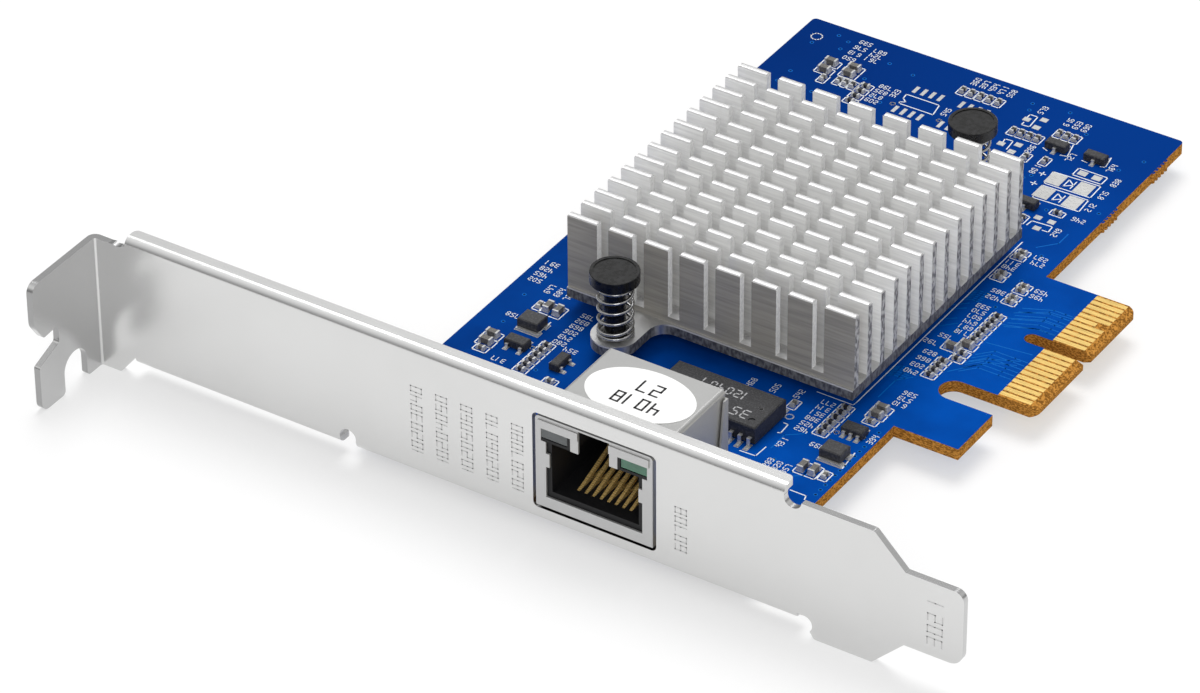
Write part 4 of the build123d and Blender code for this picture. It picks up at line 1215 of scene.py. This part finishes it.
TRACK_RUNS = (
    (86.4, 76.0, 88.3, 78.2, 88.3, 80.5), (83.9, 60.0, 85.4, 61.4), (83.8, 58.9, 85.6, 60.3),
    (83.8, 56.4, 85.7, 57.9), (84.8, 55.4, 86.3, 57.0), (91.3, 55.4, 97.1, 56.1),
    (90.7, 50.0, 93.0, 52.5, 96.6, 54.2), (90.3, 47.8, 93.5, 52.0, 96.6, 53.2),
    (80.2, 19.6, 84.8, 19.6, 86.8, 21.2), (80.6, 23.6, 80.6, 26.6, 82.6, 28.2),
    (86.0, 39.0, 86.0, 43.0, 87.4, 44.6), (91.0, 62.5, 94.5, 64.9, 97.4, 65.1),
    (91.0, 61.2, 94.8, 63.1, 97.4, 63.1), (90.9, 59.6, 95.2, 61.1, 97.4, 61.1),
)


@dataclass
class BoardCopper:
    """Covered tracks and small plated holes, on both faces of the board."""

    track: float = 0.16
    bundle: int = 6
    hole_radius: float = 0.17
    rim_radius: float = 0.3
    lift: float = 0.006
    seed: int = 7
    scattered: int = 240
    clearance: float = 0.7
    part_foot: float = 3.0
    low_corner: tuple[float, float] = (38.5, 17.5)
    high_corner: tuple[float, float] = (89.5, 104.5)
    edge_holes: int = 14
    edge_row: tuple[float, float] = (89.7, 18.6)
    edge_step: float = 1.1

    def free_places(self) -> np.ndarray:
        """Scattered places on the board that no part stands on, and a row along the right edge."""
        random = np.random.default_rng(self.seed)
        places = random.uniform(self.low_corner, self.high_corner, (self.scattered, 2))
        taken = np.concatenate([
            card_boxes(node) for node in NODES
            if node not in ("bracket", "circuit_board") and abs(card_boxes(node)[:, 2].min()) < self.part_foot
        ])
        past_low = places[:, None, :] > taken[None, :, :2] - self.clearance
        before_high = places[:, None, :] < taken[None, :, 3:5] + self.clearance
        free = places[~(past_low & before_high).all(axis=2).any(axis=1)]
        row = np.array(self.edge_row) + np.arange(self.edge_holes)[:, None] * (0.0, self.edge_step)
        return np.concatenate([free, row])

    def bundles(self) -> np.ndarray:
        """Bundles of parallel tracks round the heat sink, each with one slanting length."""
        start = np.array([
            (40.5, 82.5), (56.0, 85.5), (66.0, 80.0), (39.5, 60.0),
            (91.4, 48.6), (91.4, 59.4), (84.4, 61.6), (84.4, 43.0),
        ])
        step = np.array([
            (0.0, 0.42), (0.0, 0.42), (0.42, 0.0), (0.42, 0.0),
            (0.0, 0.8), (0.0, 0.9), (0.0, 0.42), (0.0, 0.42),
        ])
        runs = np.array([
            [(0, 0), (9, 0), (12, 3), (14, 3)], [(0, 0), (8, 0), (10, -2), (13, -2)],
            [(0, 0), (0, 6), (2, 8), (2, 11)], [(0, 0), (0, 12), (2, 14), (2, 19)],
            [(0, 0), (1.6, 1.8), (4.4, 1.8), (6, 1.8)], [(0, 0), (3.4, 1.6), (5, 1.6), (6, 1.6)],
            [(0, 0), (0.8, 0.6), (1.4, 0.6), (2, 0.6)], [(0, 0), (0.8, 0.8), (1.6, 0.8), (2.4, 0.8)],
        ])
        paths = (start[:, None, None, :] + runs[:, None, :, :]) + (
            np.arange(self.bundle)[None, :, None, None] * step[:, None, None, :]
        )
        return np.concatenate([paths[:, :, :-1], paths[:, :, 1:]], axis=3).reshape(-1, 4)

    def build(self, book: FinishBook) -> None:
        """Add the tracks with the holes' rims, and the holes, as two pieces with the underside's copies."""
        lines = np.concatenate([segments(corners) for corners in TRACK_RUNS] + [self.bundles()])
        places = self.free_places()
        under = -float(BOARD_THICKNESS)
        mirrored = under - self.lift
        pieces = (
            ("covered_tracks", book.track, [
                strips(lines, self.track, self.lift), strips(lines, self.track, mirrored),
                discs(places, self.rim_radius, self.lift), discs(places, self.rim_radius, mirrored),
            ]),
            ("plated_holes", book.hole, [
                discs(places, self.hole_radius, 2 * self.lift),
                discs(places, self.hole_radius, under - 2 * self.lift),
            ]),
        )
        for name, finish, parts in pieces:
            show(name, joined(parts), finish, False)


@dataclass
class LeadPads:
    """Tinned pads under the leads, and solder cones round what comes through the board."""

    margin: float = 0.1
    height: float = 0.03
    start: float = 0.002
    cone_reach: float = 0.75
    cone_height: float = 0.7
    rings: int = 6
    steps: int = 16

    def pads(self) -> Surface:
        """A flat pad under each lead, a little wider than the lead."""
        nodes = (
            "transformer_leads", "left_regulator_leads", "right_regulator_leads", "transistor_leads",
            "inductor_terminals", "capacitor_end_caps", "resistor_end_caps",
        )
        boxes = np.concatenate([card_boxes(node) for node in nodes])
        low = on_board(boxes[:, :2] - self.margin, self.start)
        return blocks(low, on_board(boxes[:, 3:5] + self.margin, self.height))

    def cones(self) -> list[Surface]:
        """Solder under the board round each wire tail: r = R - (R - w) sqrt(t), with t from 0 at the board
        to 1 at the tip, the cone's reach R and half the wire's width w.
        """
        wires = card_boxes("jack_contacts")
        half = (wires[:, 3] - wires[:, 0]) / 2
        down = np.linspace(0.0, 1.0, self.rings)
        radius = self.cone_reach - (self.cone_reach - half[0]) * down ** 0.5
        depth = -float(BOARD_THICKNESS) - self.cone_height * down
        profile = np.stack([radius, depth], axis=1)[::-1] * MM
        centres = on_board(np.stack([wires[:, 0] + half, wires[:, 4] - half], axis=1))
        return [turned(profile, centre, self.steps) for centre in centres]

    def build(self, book: FinishBook) -> None:
        """Add the pads and the cones."""
        show("lead_pads", self.pads(), book.tinned, False)
        show("tail_solder", joined(self.cones()), book.tinned, True)


@dataclass
class BreakOffRidges:
    """Stumps on the board's right edge where it was broken out of its panel."""

    edge: float = 90.5
    starts: tuple[float, float] = (85.2, 98.0)
    step: float = 0.8
    count: int = 5
    radius: float = 0.3
    inset: float = 0.05
    tip: float = 0.02
    sides: int = 10

    def build(self, book: FinishBook) -> None:
        """Add the stumps as one piece."""
        low = card_boxes("circuit_board")[0][2] + self.inset
        high = -self.inset
        profile = np.array([(self.tip, low), (self.radius, low), (self.radius, high), (self.tip, high)]) * MM
        places = [
            (self.edge, start + self.step * index) for start in self.starts for index in range(self.count)
        ]
        stumps = [turned(profile, centre, self.sides) for centre in on_board(np.array(places))]
        show("break_off_ridges", joined(stumps), book.board, False)


@dataclass
class PushPinRims:
    """A low raised rim round each push pin's head."""

    width: float = 0.45
    height: float = 0.1
    bevel: float = 0.06
    sunk: float = 0.02
    steps: int = 40

    def build(self, book: FinishBook) -> None:
        """Add both rims as one piece."""
        rims = []
        for box in card_boxes("push_pins"):
            radius = (box[3] - box[0]) / 2
            inner = radius - self.width
            top = box[5]
            rim = top + self.height
            profile = np.array([
                (radius, top - self.sunk), (radius, rim - self.bevel), (radius - self.bevel, rim),
                (inner, rim), (inner, top),
            ]) * MM
            rims.append(turned(profile, on_board((box[:2] + box[3:5]) / 2), self.steps))
        show("push_pin_rims", joined(rims), book.pin, False)


@dataclass
class FinTops:
    """A softly rounded top on each of the heat sink's fins."""

    left: float = 45.3
    front: float = 34.45
    side: float = 40.0
    depth: float = 39.5
    rows: int = 14
    columns: int = 8
    thickness: float = 0.95
    cross_cut: float = 1.6
    height: float = 0.18
    end: float = 0.12
    sunk: float = 0.01
    steps: int = 9

    def build(self, book: FinishBook) -> None:
        """Add every top as one piece: z = h (1 - u^4) across a fin, with u from 1 to -1, and drawn down
        to the fin at both ends.
        """
        across = np.linspace(1.0, -1.0, self.steps)
        pitch = self.side / self.columns
        low = self.left + pitch * np.arange(self.columns) + self.cross_cut / 2
        high = low + pitch - self.cross_cut
        low[0], high[-1] = self.left, self.left + self.side
        along = np.stack([low, low + self.end, high - self.end, high], axis=1)
        raised = np.array([0.0, 1.0, 1.0, 0.0])[:, None] * (1.0 - across ** 4)
        first = self.front + self.thickness / 2
        middle = np.linspace(first, first + self.depth - self.thickness, self.rows)
        top = card_boxes("heat_sink")[0][5] - self.sunk
        points = np.stack(np.broadcast_arrays(
            along[None, :, :, None],
            middle[:, None, None, None] + across * self.thickness / 2,
            top + raised * (self.height + self.sunk),
        ), axis=-1)
        grid = raised.shape
        faces = repeated(grid_faces(*grid), math.prod(grid), self.rows * self.columns)
        surface = points.reshape(-1, 3) * MM + ORIGIN, faces
        show("fin_tops", surface, book.sink, False)


@dataclass
class PhotoCamera:
    """The camera of the photograph: its angles, place and lens."""

    azimuth: float = 33.07
    elevation: float = 35.52
    roll: float = -0.43
    place: Triple = (384.910, -480.172, 434.599)
    lens: float = 187.97
    sensor: float = 36.0
    far: float = 10.0

    def build(self) -> None:
        """Add the camera; its right, up and back directions come from the three angles."""
        a, e, r = (math.radians(angle) for angle in (self.azimuth, self.elevation, self.roll))
        right = Vector((math.cos(a), math.sin(a), 0.0))
        back = Vector((math.sin(a) * math.cos(e), -math.cos(a) * math.cos(e), math.sin(e)))
        up = back.cross(right)
        turned_right = math.cos(r) * right + math.sin(r) * up
        turned_up = -math.sin(r) * right + math.cos(r) * up
        data = bpy.data.cameras.new("photo_camera")
        data.lens = self.lens
        data.sensor_width = self.sensor
        data.clip_end = self.far
        camera = bpy.data.objects.new("photo_camera", data)
        bpy.context.scene.collection.objects.link(camera)
        columns = Matrix((turned_right, turned_up, back)).transposed().to_4x4()
        camera.matrix_world = Matrix.Translation(CARD.at(*self.place)) @ columns
        bpy.context.scene.camera = camera
        LOG.info("camera at %s", tuple(round(value, 4) for value in camera.location))


@dataclass
class Studio:
    """White floor, white surroundings and two soft lamps.

    The floor glows only for the rays of the camera, of mirrors and of clear pieces.
    """

    floor_size: float = 6.0
    world_strength: float = 0.55
    horizon: float = 0.12
    horizon_rise: tuple[float, float] = (-0.05, 0.9)
    lamp_power: float = 7.0
    lamp_size: float = 0.6
    front_share: float = 0.5
    floor_glow: float = 0.5
    floor_gap: float = 0.00002

    def floor(self) -> None:
        """A wide pale floor that shows white and keeps the card's shadow."""
        half = self.floor_size / 2
        height = float(CAD_BOX[0].z) - self.floor_gap
        corners = np.array([(-1, -1), (1, -1), (1, 1), (-1, 1)]) * half
        points = np.concatenate([corners, np.full((4, 1), height)], axis=1)
        mesh = clean_mesh("studio_floor", points, np.array([(0, 1, 2, 3)]))
        sheet = NodeSheet("floor_white")
        sheet.set(Base_Color=(0.9, 0.9, 0.9, 1.0), Roughness=0.6, Specular_IOR_Level=0.1)
        rays = sheet.add("ShaderNodeLightPath").outputs
        seen = sheet.either(rays["Is Camera Ray"], rays["Is Glossy Ray"])
        share = sheet.both(sheet.either(seen, rays["Is Transmission Ray"]), self.floor_glow)
        glow = sheet.add("ShaderNodeEmission", {"Color": WHITE}).outputs["Emission"]
        mix = sheet.add("ShaderNodeMixShader", {"Fac": share, 1: sheet.shader.outputs["BSDF"], 2: glow})
        sheet.feed(sheet.output, {"Surface": mix.outputs["Shader"]})
        mesh.materials.append(sheet.material)
        plane = bpy.data.objects.new("studio_floor", mesh)
        bpy.context.scene.collection.objects.link(plane)

    def world(self) -> None:
        """Surroundings: white to the camera, darker towards the horizon in mirrors, even as light."""
        world = bpy.data.worlds.new("studio_world")
        world.use_nodes = True
        sky = NodeTree(world.node_tree)
        rays = sky.add("ShaderNodeLightPath").outputs
        upward = sky.along(sky.add("ShaderNodeTexCoord").outputs["Generated"], ALONG_Z)
        climb = sky.levels(upward, self.horizon, 1.0, *self.horizon_rise)
        mirrored = sky.levels(rays["Is Glossy Ray"], self.world_strength, climb, 0.0, 1.0)
        seen = sky.levels(rays["Is Camera Ray"], mirrored, 1.0, 0.0, 1.0)
        background = sky.add("ShaderNodeBackground", {"Color": WHITE, "Strength": seen})
        sky.add("ShaderNodeOutputWorld", {"Surface": background.outputs["Background"]})
        bpy.context.scene.world = world

    def lamp(self, name: str, place: Triple, power: float) -> None:
        """A square soft lamp aimed at the card.

        Args:
            name: the lamp's name.
            place: where it hangs, in metres.
            power: its power in watts.
        """
        data = bpy.data.lights.new(name, "AREA")
        data.energy = power
        data.size = self.lamp_size
        lamp = bpy.data.objects.new(name, data)
        lamp.location = place
        lamp.rotation_euler = (-Vector(place)).to_track_quat("-Z", "Y").to_euler()
        bpy.context.scene.collection.objects.link(lamp)

    def build(self) -> None:
        """Set the stage."""
        self.floor()
        self.world()
        self.lamp("top_lamp", (-0.2, 0.35, 1.0), self.lamp_power)
        self.lamp("front_lamp", (0.5, -0.8, 0.7), self.lamp_power * self.front_share)
        bpy.context.scene.view_settings.view_transform = "Standard"


def main() -> None:
    """Build and dress the card, then set up the camera and the studio."""
    logging.basicConfig(level=logging.INFO, format="%(message)s")
    book = FinishBook()
    NodeDresser(book).dress()
    PushPinSprings().build(book)
    SolderJoints().build(book)
    LeadPads().build(book)
    BoardCopper().build(book)
    BoardPrint().build(book)
    PartPrint().build(book)
    BracketMarks().build(book)
    BreakOffRidges().build(book)
    PushPinRims().build(book)
    FinTops().build(book)
    PhotoCamera().build()
    Studio().build()


if __name__ == "__main__":
    main()
